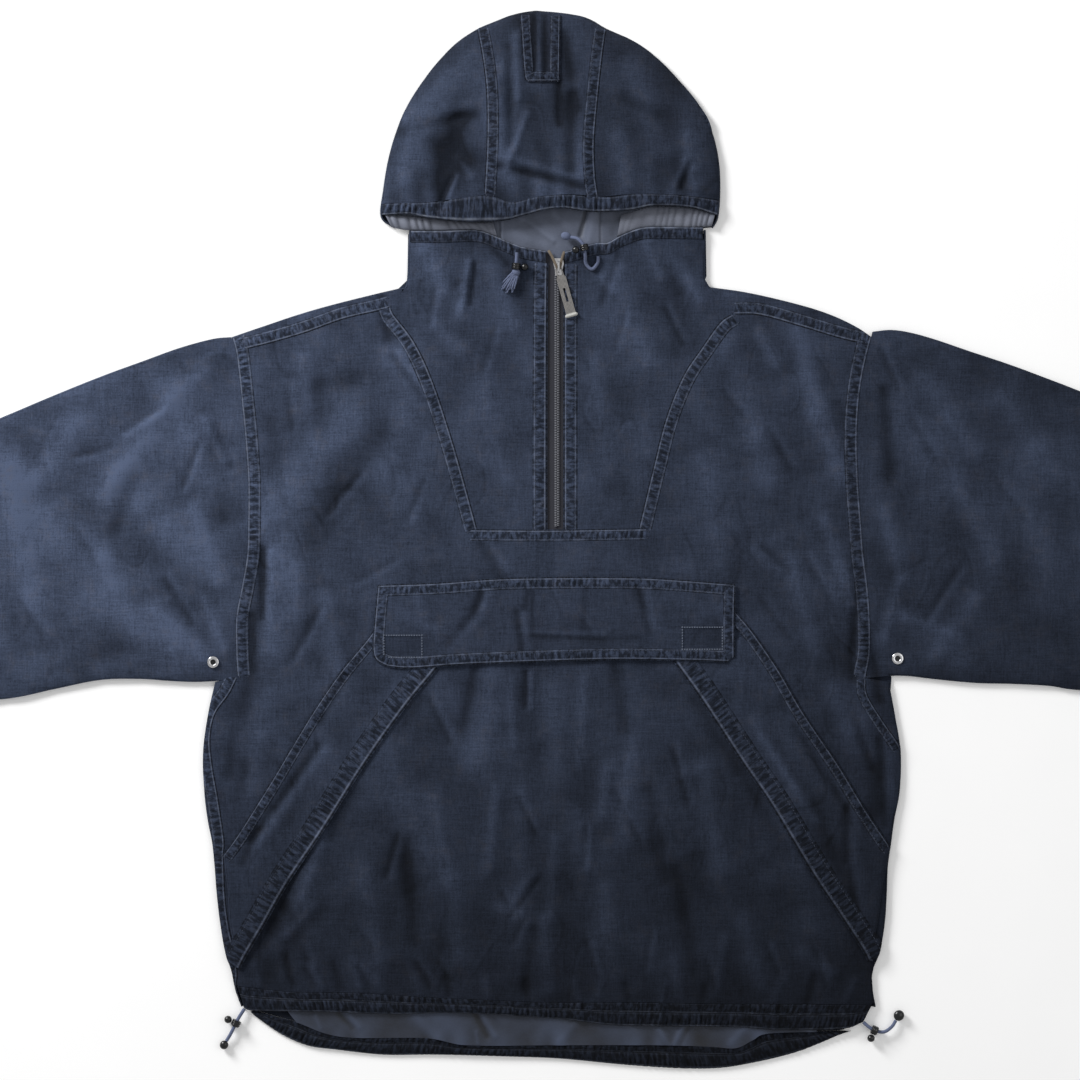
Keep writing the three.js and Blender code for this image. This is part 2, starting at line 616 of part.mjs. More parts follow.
// Closed solid under a grid of top points, with a flat underside
function pillow(rows, heightAt, low) {
  const columnCount = rows[0].length;
  const last = rows.length - 1;
  const loop = rim(rows.length, columnCount);
  const area = THREE.ShapeUtils.area(loop.map(([i, j]) => new THREE.Vector2(...rows[i][j])));
  const points = rows.flat().map(([x, y]) => [x, y, heightAt(x, y)]);
  const under = new Map();
  loop.forEach(([i, j]) => {
    under.set(i * columnCount + j, points.length);
    points.push([rows[i][j][0], rows[i][j][1], low]);
  });
  const triangles = [];
  const top = (i, j) => i * columnCount + j;
  const floor = (i, j) => under.get(top(i, j));
  for (let i = 0; i < last; i += 1) {
    for (let j = 0; j + 1 < columnCount; j += 1) {
      triangles.push([top(i, j), top(i, j + 1), top(i + 1, j + 1)]);
      triangles.push([top(i, j), top(i + 1, j + 1), top(i + 1, j)]);
    }
  }
  for (let j = 0; j + 1 < columnCount; j += 1) {
    triangles.push([floor(0, j + 1), floor(0, j), floor(1, 0)]);
    triangles.push([floor(last, j), floor(last, j + 1), floor(last - 1, columnCount - 1)]);
  }
  triangles.push([floor(1, columnCount - 1), floor(0, columnCount - 1), floor(1, 0)]);
  triangles.push([floor(last - 1, 0), floor(last, 0), floor(last - 1, columnCount - 1)]);
  for (let i = 1; i < last - 1; i += 1) {
    triangles.push([floor(i, columnCount - 1), floor(i, 0), floor(i + 1, columnCount - 1)]);
    triangles.push([floor(i, 0), floor(i + 1, 0), floor(i + 1, columnCount - 1)]);
  }
  loop.forEach(([i, j], k) => {
    const [nextI, nextJ] = loop[(k + 1) % loop.length];
    triangles.push([top(i, j), floor(i, j), floor(nextI, nextJ)]);
    triangles.push([top(i, j), floor(nextI, nextJ), top(nextI, nextJ)]);
  });
  return meshOf(points, area > 0 ? triangles : triangles.map(([a, b, c]) => [a, c, b]));
}

// Wall between a grid of top points and the same grid lowered by its thickness
function blanket(rows, thick) {
  const columnCount = rows[0].length;
  const count = rows.length * columnCount;
  const loop = rim(rows.length, columnCount);
  const plan = loop.map(([i, j]) => new THREE.Vector2(rows[i][j][0], rows[i][j][1]));
  const area = THREE.ShapeUtils.area(plan);
  const tops = rows.flat();
  const points = [...tops, ...tops.map(([x, y, z]) => [x, y, z - thick])];
  const triangles = [];
  const at = (i, j) => i * columnCount + j;
  for (let i = 0; i + 1 < rows.length; i += 1) {
    for (let j = 0; j + 1 < columnCount; j += 1) {
      triangles.push([at(i, j), at(i, j + 1), at(i + 1, j + 1)]);
      triangles.push([at(i, j), at(i + 1, j + 1), at(i + 1, j)]);
      triangles.push([at(i, j) + count, at(i + 1, j + 1) + count, at(i, j + 1) + count]);
      triangles.push([at(i, j) + count, at(i + 1, j) + count, at(i + 1, j + 1) + count]);
    }
  }
  loop.forEach(([i, j], k) => {
    const [nextI, nextJ] = loop[(k + 1) % loop.length];
    triangles.push([at(i, j), at(i, j) + count, at(nextI, nextJ) + count]);
    triangles.push([at(i, j), at(nextI, nextJ) + count, at(nextI, nextJ)]);
  });
  return meshOf(points, area > 0 ? triangles : triangles.map(([a, b, c]) => [a, c, b]));
}

// Wall round a flattened hollow: the pillow less the pillow of its inside
function flattened(rows, heightAt, openRow, openFirst, openLast) {
  const outer = solidOf(pillow(rows, heightAt, 0));
  const inner = insideRows(rows, openRow, openFirst, openLast);
  return outer.subtract(solidOf(pillow(inner, (x, y) => heightAt(x, y) - WALL, WALL)));
}

// Point a share of the way along an open line, by length
function alongLine(line, share) {
  const curve = new THREE.CurvePath();
  for (let k = 0; k + 1 < line.length; k += 1) {
    curve.add(new THREE.LineCurve(new THREE.Vector2(...line[k]), new THREE.Vector2(...line[k + 1])));
  }
  return curve.getPoint(share);
}

// Rounded casing between two edges, its cloth gathered into waves over the cord inside
function casingRows(inner, outer, waves, low, tall, depth) {
  const steps = waves * WAVE_STEPS;
  const rows = [];
  for (let k = 0; k <= steps; k += 1) {
    const from = alongLine(inner, k / steps);
    const to = alongLine(outer, k / steps);
    const wave = Math.cos((2 * Math.PI * k) / WAVE_STEPS) * (0.7 + 0.3 * Math.sin(k * 1.7));
    rows.push(CASING_ACROSS.map((t, j) => {
      const spot = from.clone().lerp(to, t);
      return [spot.x, spot.y, low(spot.x, spot.y) + tall * CASING_SWELL[j] + depth * wave * (j > 0 ? 1 : 0)];
    }));
  }
  return rows;
}

// Body, sleeves and hood as hollow flattened shells

const bodySections = closer(BODY_SECTIONS);
const bodyShell = flattened(
  levelRows(bodySections, BODY_COLUMNS), bodyHeight, (i) => bodySections[i].ends === OPEN, true, true,
);
const bodyOutline = [
  ...bodySections.map((row) => [row.left, row.y]),
  ...bodySections.map((row) => [row.right, row.y]).reverse(),
];

const frontCut = prism(FRONT_EDGE);
const frontCutWide = prism(grown(FRONT_EDGE, GAP), SPLIT - GAP);
const yokeCut = prism(YOKE_SEAM);
const yokeCutWide = prism(grown(YOKE_SEAM, GAP));
const pocketEdge = [
  ...OUTER_SEAM_LEFT, [-360, -325], [-360, -440], ...HEM_TOP, [360, -465.4], [360, -326],
  ...[...OUTER_SEAM_RIGHT].reverse(),
];
const pocketCut = prism(pocketEdge);
const belowHem = prism([
  [-360, -443], ...HEM_TOP, [360, -465.8], [361, -500], [-361, -499],
]);
const neckFloor = prism([
  [-200, NECK_SEAM_Y - GAP], [200, NECK_SEAM_Y - GAP], [200, 340], [-200, 340],
], -1, SPLIT);

const frontLayer = bodyShell.intersect(frontCut);

addPiece('back', bodyShell.subtract(frontCutWide).subtract(neckFloor).add(backTail()), 'canvas');
const frontOnly = frontLayer.subtract(yokeCutWide).subtract(prism(grown(pocketEdge, GAP))).subtract(belowHem);
addPiece('front', frontOnly, 'canvas');
addPiece('front_pocket_panel', frontLayer.intersect(pocketCut).subtract(belowHem), 'canvasDark');

// Floor layer of the back below the front's hem, down to the gathered casing
function backTail() {
  const inner = BACK_CASING_INNER.map(([x, y]) => [x, y + CASING_GAP]);
  return prism([[-305, -466], ...inner, [312, -471], [318, -466]], 0, WALL);
}

addYoke();
addPocketStrips();
addFlap();
addZip();
addSleeves();
addHood();
addHemCasings();
addEyelets();
addCords();

function addYoke() {
  const yoke = frontLayer.intersect(yokeCut);
  const neckTop = [...LIP_LEFT, ...LIP_RIGHT].map(([x, y]) => [x, y - LIP_DEPTH - CASING_GAP]);
  const aboveNeck = [[-175, 297.4], ...neckTop, [175, 301], [176, 350], [-176, 351]];
  const body = yoke.subtract(prism(aboveNeck));
  const leftOfZip = prism([[ZIP_LEFT, 0], [ZIP_LEFT, 360], [-200, 360], [-200, 0]]);
  const rightOfZip = prism([[ZIP_RIGHT, 0], [200, 0], [200, 360], [ZIP_RIGHT, 360]]);
  addPiece('yoke_left', body.intersect(leftOfZip), 'canvas');
  addPiece('yoke_right', body.intersect(rightOfZip), 'canvas');
  const lipBase = (x, y) => bodyHeight(x, Math.min(y, 304));
  const under = (line) => line.map(([x, y]) => [x, y - LIP_DEPTH]);
  const left = casingRows(under(LIP_LEFT), LIP_LEFT, LIP_WAVES, lipBase, LIP_TALL, LIP_WAVE);
  const right = casingRows(under(LIP_RIGHT), LIP_RIGHT, LIP_WAVES, lipBase, LIP_TALL, LIP_WAVE);
  addPiece('neck_casing_left', blanket(left, WALL), 'canvas');
  addPiece('neck_casing_right', blanket(right, WALL), 'canvas');
}

function addPocketStrips() {
  const lifted = frontLayer.translate([0, 0, LAYER]);
  const outerLeft = OUTER_SEAM_LEFT.slice(1, -1).map(([x, y]) => [x + 0.6, y - 0.4]);
  const outerRight = OUTER_SEAM_RIGHT.slice(1, -1).map(([x, y]) => [x - 0.6, y - 0.4]);
  const left = [
    [-177, STRIP_TOP_Y], ...outerLeft, ...[...STRIP_SIDE_LEFT].reverse(), ...[...STRIP_EDGE_LEFT].reverse(),
  ];
  const right = [
    [178, STRIP_TOP_Y], ...outerRight, ...[...STRIP_SIDE_RIGHT].reverse(), ...[...STRIP_EDGE_RIGHT].reverse(),
  ];
  addPiece('pocket_strip_left', lifted.intersect(prism(left)), 'canvas');
  addPiece('pocket_strip_right', lifted.intersect(prism(right)), 'canvas');
}

function addFlap() {
  addPiece('pocket_flap', frontLayer.translate([0, 0, 2 * LAYER]).intersect(prism(FLAP_EDGE)), 'canvasDark');
}

// Tapes under the yoke's folded edges, the slider at the top of the teeth and its pull tab
function addZip() {
  const sunk = frontLayer.translate([0, 0, -LAYER]);
  const tapeLow = YOKE_SEAM_Y - 6;
  const tape = (from, to) => prism([[from, tapeLow], [to, tapeLow], [to, ZIP_TOP], [from, ZIP_TOP]]);
  addPiece('zip_tape_left', sunk.intersect(tape(-TAPE_REACH, ZIP_CENTRE - GAP / 2)), 'tape');
  addPiece('zip_tape_right', sunk.intersect(tape(ZIP_CENTRE + GAP / 2, TAPE_REACH + 3)), 'tape');
  addSlider();
}

// Slider: a waisted plate with a bridge over it
function addSlider() {
  const { waist, half, tip, reach, tall, bridge } = SLIDER;
  const plate = new THREE.Shape();
  plate.moveTo(-waist, -reach);
  plate.quadraticCurveTo(-waist, -reach / 4, -half, reach / 3);
  plate.lineTo(-tip, reach);
  plate.lineTo(tip, reach);
  plate.lineTo(half, reach / 3);
  plate.quadraticCurveTo(waist, -reach / 4, waist, -reach);
  plate.closePath();
  const base = new THREE.ExtrudeGeometry(plate, { depth: tall, bevelEnabled: false, curveSegments: 3 });
  const inside = bridge.half - 1.25 * bridge.wall;
  const ceiling = bridge.tall - bridge.wall;
  const side = new THREE.Shape();
  side.moveTo(-bridge.half, 0);
  side.quadraticCurveTo(-bridge.half, bridge.tall, -bridge.half / 3, bridge.tall);
  side.lineTo(bridge.half / 3, bridge.tall);
  side.quadraticCurveTo(bridge.half, bridge.tall, bridge.half, 0);
  side.lineTo(inside, 0);
  side.quadraticCurveTo(inside, ceiling, bridge.half / 3, ceiling);
  side.lineTo(-bridge.half / 3, ceiling);
  side.quadraticCurveTo(-inside, ceiling, -inside, 0);
  side.closePath();
  const arch = new THREE.ExtrudeGeometry(side, { depth: bridge.width, bevelEnabled: false, curveSegments: 4 });
  arch.rotateX(Math.PI / 2);
  arch.rotateZ(Math.PI / 2);
  arch.translate(-bridge.width / 2, 0, tall - 0.1);
  const slider = solidOf(base).add(solidOf(arch)).translate([SLIDER.x, SLIDER.y, SLIDER.z]);
  addPiece('zip_slider', slider, 'metal');
  addPull();
}

// Pull tab: a crossbar under the bridge, an eye round its leg, a slotted strap and a bar across its end
function addPull() {
  const { width, length, thick, eye, slot, bar } = PULL;
  const half = width / 2;
  const strap = outlineShape([
    [-eye.half, eye.top], [eye.half, eye.top], [eye.half, -eye.low], [half, -eye.shoulder],
    [half, -length], [-half, -length], [-half, -eye.shoulder], [-eye.half, -eye.low],
  ]);
  const window = (wide, high, low) => outlineShape([[-wide, high], [-wide, low], [wide, low], [wide, high]]);
  strap.holes.push(window(eye.hole, eye.top - 1.2, -eye.hole));
  strap.holes.push(window(slot.half, -slot.from, -slot.to));
  const flat = solidOf(new THREE.ExtrudeGeometry(strap, { depth: thick, bevelEnabled: false }));
  const end = new THREE.CapsuleGeometry(bar.radius, bar.length, 3, 8);
  end.rotateZ(Math.PI / 2);
  end.translate(0, -length, thick / 2 + bar.up);
  const pull = flat.add(solidOf(end)).rotate([0, 0, PULL.swing]).translate([PULL.x, PULL.y, PULL.z]);
  addPiece('zip_pull', pull, 'pull');
}

function addSleeves() {
  const bodySpace = prism(grown(bodyOutline, GAP), -1, ABOVE_ALL);
  addSleeve('left', SLEEVE_LEFT, bodySpace);
  addSleeve('right', SLEEVE_RIGHT, bodySpace);
}

// Sleeve tube from the armhole to the cuff, and the plain hemmed cuff beyond it
function addSleeve(side, sections, bodySpace) {
  const shell = flattened(sleeveRows(sections), bodyHeight, () => false, true, true);
  const eyelet = EYELETS.find((spot) => spot.name === `eyelet_${side}`);
  const ring = new THREE.CylinderGeometry(EYELET_BORE, EYELET_BORE, ABOVE_ALL, 8);
  ring.rotateX(Math.PI / 2);
  ring.translate(eyelet.x, eyelet.y, ABOVE_ALL / 2 + SPLIT);
  addPiece(`sleeve_${side}`, shell.subtract(bodySpace).subtract(solidOf(ring)), 'canvasLight');
  const last = sections[sections.length - 1];
  const before = sections[sections.length - 2];
  const away = new THREE.Vector2(last.topX - before.topX, last.topY - before.topY).normalize();
  const at = (far) => ({
    topX: last.topX + away.x * far,
    topY: last.topY + away.y * far,
    lowX: last.lowX + away.x * far,
    lowY: last.lowY + (away.y * CUFF_LEAN + CUFF_TAPER) * far,
  });
  const cuffRows = sleeveRows([at(GAP), at(CUFF_DEPTH / 2), at(CUFF_DEPTH)]);
  const cuff = flattened(cuffRows, cuffHeight, () => false, true, true);
  addPiece(`cuff_${side}`, cuff, 'canvasLight');
}

function cuffHeight(x, y) {
  return bodyHeight(x, y) + CUFF_RISE;
}

// Three hood panels over the crown and under to the neck seam, with tab, brim, facings and lining
function addHood() {
  const rows = levelRows(closer(HOOD_SECTIONS), HOOD_COLUMNS);
  const shell = flattened(rows, hoodHeight, () => false, false, true);
  const brimTop = BRIM_LINE.map(([x, y]) => [x, y + CASING_GAP]);
  const mouth = prism([...brimTop, [190, 338], [190, 290], [-190, 290], [-190, 336.6]]);
  const neck = prism([
    [-161, 312.6], [-146, 309], [-147, 285], [-148, NECK_SEAM_Y], [152, NECK_SEAM_Y], [150, 285],
    [151, 309], [158, 313],
  ], 0, WALL);
  const hood = shell.subtract(mouth).add(neck);
  const leftSide = [...HOOD_SEAM_LEFT, [-250, 240], [-250, 545]];
  const rightSide = [...HOOD_SEAM_RIGHT, [250, 240], [250, 545]];
  addPiece('hood_side_left', hood.intersect(prism(leftSide, -1)), 'canvas');
  addPiece('hood_side_right', hood.intersect(prism(rightSide, -1)), 'canvas');
  const middle = hood.subtract(prism(grown(leftSide, GAP), -2)).subtract(prism(grown(rightSide, GAP), -2));
  addPiece('hood_centre', middle, 'canvas');
  const crown = hood.translate([0, 0, LAYER]).intersect(prism(TAB_EDGE, 6));
  addPiece('hood_tab', crown, 'canvas');
  const brimBase = (x, y) => hoodHeight(x, y + 6) - 0.2;
  const brim = casingRows(BRIM_LINE, BRIM_EDGE, BRIM_WAVES, brimBase, BRIM_TALL, BRIM_WAVE);
  addPiece('hood_brim', blanket(brim, WALL), 'canvasDark');
  addPiece('hood_lining', prism(HOOD_LINING_EDGE, LAYER, LAYER + WALL), 'lining');
  const facingBase = () => FACING_BED;
  const facings = { left: FACING_LEFT, right: FACING_RIGHT };
  Object.entries(facings).forEach(([side, edges]) => {
    const strip = casingRows(edges.under, edges.over, FACING_WAVES, facingBase, FACING_TALL, HEM_WAVE);
    addPiece(`hood_facing_${side}`, blanket(strip, WALL), 'lining');
  });
}

function addHemCasings() {
  const frontTop = HEM_TOP.map(([x, y]) => [x, y - CASING_GAP]);
  const frontBase = (x, y) => Math.max(HEM_BED, bodyHeight(x, Math.max(y, -460)) - 0.8);
  const front = casingRows(frontTop, HEM_EDGE_FRONT, HEM_FRONT_WAVES, frontBase, HEM_TALL, HEM_WAVE);
  addPiece('hem_casing_front', blanket(front, WALL), 'canvasDark');
  const bed = () => BACK_HEM_BED;
  const back = casingRows(BACK_CASING_INNER, BACK_CASING_OUTER, HEM_BACK_WAVES, bed, BACK_HEM_TALL, LIP_WAVE);
  const flat = back.map((row) => row.map(([x, y]) => [x, y]));
  const heights = new Map(back.flat().map(([x, y, z]) => [`${x} ${y}`, z]));
  addPiece('hem_casing_back', pillow(flat, (x, y) => heights.get(`${x} ${y}`), 0), 'canvasDark');
  addPiece('hem_lining', prism(HEM_LINING_EDGE, LAYER, LAYER + WALL), 'lining');
}

function addEyelets() {
  EYELETS.forEach(({ name, x, y }) => {
    const profile = [
      [EYELET_BORE, 0], [EYELET_OUTER, 0], [EYELET_OUTER - 0.7, EYELET_TALL * 0.7],
      [EYELET_OUTER - 1.8, EYELET_TALL], [EYELET_BORE + 0.3, EYELET_TALL * 0.8], [EYELET_BORE, 0],
    ];
    const ring = new THREE.LatheGeometry(profile.map(([r, h]) => new THREE.Vector2(r, h)), RING_SIDES);
    ring.rotateX(Math.PI / 2);
    addPiece(name, solidOf(ring).translate([x, y, restingHeight(x, y, EYELET_OUTER)]), 'metal');
  });
}

// Lowest place for a flat thing of this radius to lie on the cloth
function restingHeight(x, y, radius) {
  const heights = [bodyHeight(x, y)];
  for (let k = 0; k < 8; k += 1) {
    const angle = (Math.PI * k) / 4;
    heights.push(bodyHeight(x + radius * Math.cos(angle), y + radius * Math.sin(angle)));
  }
  return Math.max(...heights) + GAP;
}

// Each cord with its lock, the lock's button and the knot or knob at its end
function addCords() {
  CORDS.forEach(({ name, route, lock, end }) => {
    const curve = new THREE.CatmullRomCurve3(route.map((point) => new THREE.Vector3(...point)));
    const section = new THREE.Shape();
    section.absarc(0, 0, CORD_RADIUS, 0, 2 * Math.PI);
    const steps = Math.ceil(curve.getLength() / (5 * CORD_RADIUS));
    const tube = new THREE.ExtrudeGeometry(section, {
      extrudePath: curve, steps, bevelEnabled: false, curveSegments: CORD_SIDES,
    });
    addPiece(name, solidOf(tube), 'cord');
    addLock(curve, lock);
    addCordEnd(curve, end);
  });
}

function addLock(curve, { name, share, side }) {
  const half = LOCK_LENGTH / 2;
  const profile = [
    [LOCK_BORE, -half], [LOCK_RADIUS - 0.8, -half], [LOCK_RADIUS, 1 - half], [LOCK_RADIUS, half - 1],
    [LOCK_RADIUS - 0.8, half], [LOCK_BORE, half], [LOCK_BORE, -half],
  ];
  const barrel = new THREE.LatheGeometry(profile.map(([r, h]) => new THREE.Vector2(r, h)), LOCK_SIDES);
  const spot = curve.getPointAt(share);
  const along = curve.getTangentAt(share);
  const turn = new THREE.Quaternion().setFromUnitVectors(new THREE.Vector3(0, 1, 0), along);
  barrel.applyQuaternion(turn);
  barrel.translate(spot.x, spot.y, spot.z);
  addPiece(name, barrel, 'plastic');
  const away = new THREE.Vector3(along.y, -along.x, 0).normalize().multiplyScalar(side);
  const button = new THREE.SphereGeometry(BUTTON_RADIUS, 8, 6);
  const seat = spot.clone().addScaledVector(away, LOCK_RADIUS + GAP + BUTTON_RADIUS);
  button.translate(seat.x, seat.y, seat.z);
  addPiece(`${name}_button`, button, 'plastic');
}

function addCordEnd(curve, { name, colour, length, width, tall }) {
  const tip = curve.getPointAt(1);
  const along = curve.getTangentAt(1);
  const ball = new THREE.SphereGeometry(1, 8, 6);
  ball.scale(length / 2, width / 2, tall / 2);
  ball.rotateZ(Math.atan2(along.y, along.x));
  const away = new THREE.Vector3(along.x, along.y, 0).normalize();
  const seat = tip.clone().addScaledVector(away, length / 2 + GAP);
  const bed = seat.y > NECK_SEAM_Y - 10 ? restingHeight(seat.x, seat.y, length / 2) : GAP;
  ball.translate(seat.x, seat.y, Math.max(seat.z, bed + tall / 2));
  addPiece(name, ball, colour);
}

export default garment;
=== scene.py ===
"""Anorak pullover in washed canvas, laid flat with its hood open: the look over the frame of solids."""

import math

import bpy
import numpy as np
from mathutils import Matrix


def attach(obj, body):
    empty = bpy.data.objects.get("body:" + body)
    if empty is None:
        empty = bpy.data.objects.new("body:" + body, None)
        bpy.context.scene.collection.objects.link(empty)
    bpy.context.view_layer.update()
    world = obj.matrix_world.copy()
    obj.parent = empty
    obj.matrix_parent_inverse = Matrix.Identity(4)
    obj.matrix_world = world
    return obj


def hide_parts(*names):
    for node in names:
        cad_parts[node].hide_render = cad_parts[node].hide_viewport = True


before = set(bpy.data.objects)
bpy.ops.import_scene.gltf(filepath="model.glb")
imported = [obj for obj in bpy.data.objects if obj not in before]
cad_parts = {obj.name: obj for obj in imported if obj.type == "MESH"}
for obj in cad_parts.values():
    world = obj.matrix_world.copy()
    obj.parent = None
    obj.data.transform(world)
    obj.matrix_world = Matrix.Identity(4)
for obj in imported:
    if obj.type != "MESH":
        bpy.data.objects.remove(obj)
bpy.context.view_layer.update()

# Tables and sizes below are in millimetres in the frame's own axes; meshes are made in metres
MM = 0.001

# Camera straight above the middle of the photograph, which shows 1.08 m
CAMERA_AT = (-0.015, 0.0, 3.2)
FIELD = 1.08
SENSOR = 36.0

# The laid cloth, as in the solids: height at the folds, and what it rises within a roll's reach
FOLD_HEIGHT = 3.4
BODY_RISE = 2.4
BODY_ROLL = 14.0
HOOD_RISE = 11.6
HOOD_ROLL = 70.0

# Depth of the small folds and swells laid over that
FOLD_DEPTH = 2.2
SHARP_DEPTH = 1.5
SWELL = 1.7

# Heights of the layers: above the front for strips, flap and tab, above the table for the rest
STRIP_RISE = 1.5
FLAP_RISE = 3.0
TAB_RISE = 1.4
UNDERSIDE_LEVEL = 0.05
TAIL_LEVEL = 1.2
UNDER_ARM_LEVEL = 1.6
LINING_LEVEL = 2.9
FACING_LEVEL = 4.6

# Sewing
SEAM_PITCH = 5.2
STITCH_PITCH = 3.4
STITCH_LENGTH = 2.3
PATCH_PITCH = 2.3
STITCH_ROWS = (0.16, 0.84)
COIL_PITCH = 1.7

# Hardware: cord, barrel and button of a lock, rim of an eyelet, and the gap between seated pieces
CORD_WIDTH = 3.4
BARREL_RADIUS = 4.6
BARREL_HALF = 3.2
BORE_RADIUS = 2.0
BUTTON_RADIUS = 3.8
SEAT_GAP = 0.3
EYELET_RADIUS = 4.2
EYELET_ROLL = (1.6, 0.75)

# The slanted pull: its hinge and where its end bar starts, in metres
PULL_HINGE = (0.0036, 0.27085)
PULL_SLANT = math.radians(15.5)
PULL_BAR_FROM = 0.0458

# Length of the plain cuffs and depth of the neck casing
CUFF_LENGTH = 30.0
CASING_DEPTH = 12.0

# Side of the table, in metres
TABLE_SIZE = 16.0


def add_camera():
    """A camera that looks straight down on the laid garment."""
    data = bpy.data.cameras.new("camera")
    data.sensor_width = SENSOR
    data.lens = SENSOR * (CAMERA_AT[2] - 0.005) / FIELD
    data.clip_end = 50
    camera = bpy.data.objects.new("camera", data)
    camera.location = CAMERA_AT
    bpy.context.scene.collection.objects.link(camera)
    bpy.context.scene.camera = camera


add_camera()

# Cord routes: from the casing, over the cloth or down to the table, to the knot or knob
HOOD_CORD_LEFT = [(-38, 287, 11), (-38.5, 279, 11), (-39.2, 270, 10.9), (-41.5, 262, 9.6), (-45.5, 256, 8.2)]
HOOD_CORD_RIGHT = [
    (43, 283.4, 8.4), (42.6, 277, 7.9), (37, 270.6, 7.9), (31, 276, 8.4), (30, 285, 12.6),
    (28.4, 294, 13.6), (22.5, 300.5, 12.4), (16, 302.4, 9),
]
HEM_CORD_LEFT = [
    (-310.7, -469, 4.1), (-316.4, -478, 4.8), (-320.6, -486.4, 4.8), (-324.8, -494.6, 4.6),
    (-328.6, -501, 3.6),
]
HEM_CORD_RIGHT = [
    (308.4, -482.3, 4.1), (315.4, -488, 4.8), (322.6, -491.4, 4.8), (330, -491.6, 4.8),
    (337, -486.6, 4.5), (341, -480.6, 3.7),
]

# Body sections from the neck down: Y, left end, right end
BODY_SECTIONS = [
    (310, -146, 151), (285, -147, 150.5), (262, -148, 150), (253, -150, 155), (247, -176, 195),
    (236, -220, 242), (226, -255, 274), (214, -291, 300), (203, -323, 316.5), (188, -319, 312.5),
    (165, -316, 307.5), (140, -313.5, 304), (104, -310, 302), (60, -307, 303), (20, -307, 306),
    (-14, -308, 308.5), (-45, -313, 312.5), (-78, -319, 315), (-112, -319, 315), (-135, -318, 311),
    (-142, -340, 334), (-174, -347, 340), (-212, -352, 346), (-250, -351, 345),
    (-280, -347.5, 339.5), (-303, -343, 336.5), (-327, -340.5, 333), (-353, -338.5, 332),
    (-383, -335, 330), (-412, -330, 325), (-432, -323.5, 317.5), (-450, -320, 318),
    (-467, -314, 321),
]

# Hood sections from the crown to the face opening: Y, left end, right end
HOOD_SECTIONS = [
    (529, -24, -12), (525.5, -42, 19), (520, -57, 37), (512, -76.5, 51), (500, -95, 77),
    (484, -112, 100), (462, -130, 122), (434, -148, 145), (408, -159, 157.5), (380, -167, 164),
    (351, -172, 165.5), (323, -174.5, 163.5), (312, -161, 158),
]

# Sleeve sections from the shoulder to the cuff: X and Y of the upper edge, X and Y of the lower edge
SLEEVE_LEFT = [
    (-310, 207.4, -306, -134), (-324, 203, -338, -141), (-343, 201, -360, -142),
    (-376, 192, -385, -141), (-412, 179, -415, -139), (-453, 164, -455, -140),
    (-504, 143.5, -500, -149), (-555, 122, -550, -159), (-640, 88, -622, -162),
    (-730, 52, -706, -161), (-800, 24, -772, -158), (-856, 1.5, -826, -154.5),
]
SLEEVE_RIGHT = [
    (303, 212.2, 300, -134), (318, 208.5, 332, -136), (340, 210, 352, -136),
    (371, 203.5, 378, -139), (416, 188.5, 420, -143), (455, 175.5, 458, -144),
    (494, 161, 495, -146), (525, 149, 522, -150), (610, 115, 600, -155), (700, 79, 685, -152),
    (790, 43, 765, -146), (853, 18, 823, -139),
]

# Large creases, as in the solids: from, to, width, and height of the ridge or, if negative, trough
CREASES = [
    (-161, 183, -131, 147, 12, 1.6), (-178, 105, -245, 4, 17, -1.3), (-210, 120, -275, 30, 22, 1.5),
    (-291, -11, -300, -100, 12, -1.4), (-276, -20, -284, -110, 16, 1.7),
    (245, 206, 266, 126, 12, 2.4), (266, 126, 290, 59, 12, 2.2), (268, 172, 294, 90, 9, -1.1),
    (176, 200, 142, 164, 12, 1.3), (285, -30, 305, -112, 14, 1.5), (-34, -250, -34, -377, 10, 1.5),
    (20, -275, 32, -328, 10, 1.2), (-168, -209, -115, -330, 20, 1.4), (90, -180, 60, -300, 26, 1.3),
    (232, -262, 256, -385, 14, 1.6), (-262, -390, -285, -430, 14, -1.2),
    (60, -400, 190, -412, 24, 1.2), (-385, 150, -345, 60, 18, 1.8), (-430, 60, -365, -20, 20, 1.6),
    (-505, 22, -485, -8, 16, 1.5), (-470, -60, -380, -105, 18, 1.5), (-660, 40, -620, -90, 22, 1.8),
    (-760, -20, -735, -120, 20, 1.6), (350, 140, 380, 30, 20, 1.6), (350, -77, 405, -120, 14, 1.5),
    (470, 80, 500, -60, 24, 1.7), (640, 60, 610, -80, 22, 1.8), (745, 20, 730, -100, 20, 1.6),
]

# Pocket: outer seams, hem seam, free edges of the strips, flap
OUTER_SEAM_LEFT = [
    (-171, -72), (-183, -94), (-213, -131), (-238, -167), (-259, -201), (-281, -238), (-299, -267),
    (-317.5, -296), (-332, -316),
]
OUTER_SEAM_RIGHT = [
    (180, -72), (197, -92), (223, -130), (248, -173), (283, -225), (309, -268), (335.5, -308),
]
HEM_TOP = [
    (-318, -446), (-264, -451.5), (-200, -452.5), (-129, -457), (-60, -460), (5, -462.5),
    (82, -462), (155, -463.5), (264, -464), (317, -464.8),
]
STRIP_EDGE_LEFT = [
    (-108, -108), (-120, -129), (-150, -166), (-191, -224), (-232, -289), (-267, -341.5),
    (-293, -387), (-309.5, -415), (-316, -428),
]
STRIP_EDGE_RIGHT = [
    (110, -106), (120, -121), (147, -159), (188, -222), (214, -260), (240, -303), (260.5, -337),
    (286, -375), (308, -409), (314, -421),
]
FLAP_EDGE = [
    (-176.6, -45.5), (-180, -84), (-181.5, -107), (-178.4, -119.5), (-167, -126), (-144, -127.7),
    (-93, -124), (-16, -121), (60, -119), (136, -120), (173, -121.3), (178.7, -117), (179.5, -44.7),
    (124, -40.4), (73, -38), (-42, -38.6), (-119, -43.5),
]

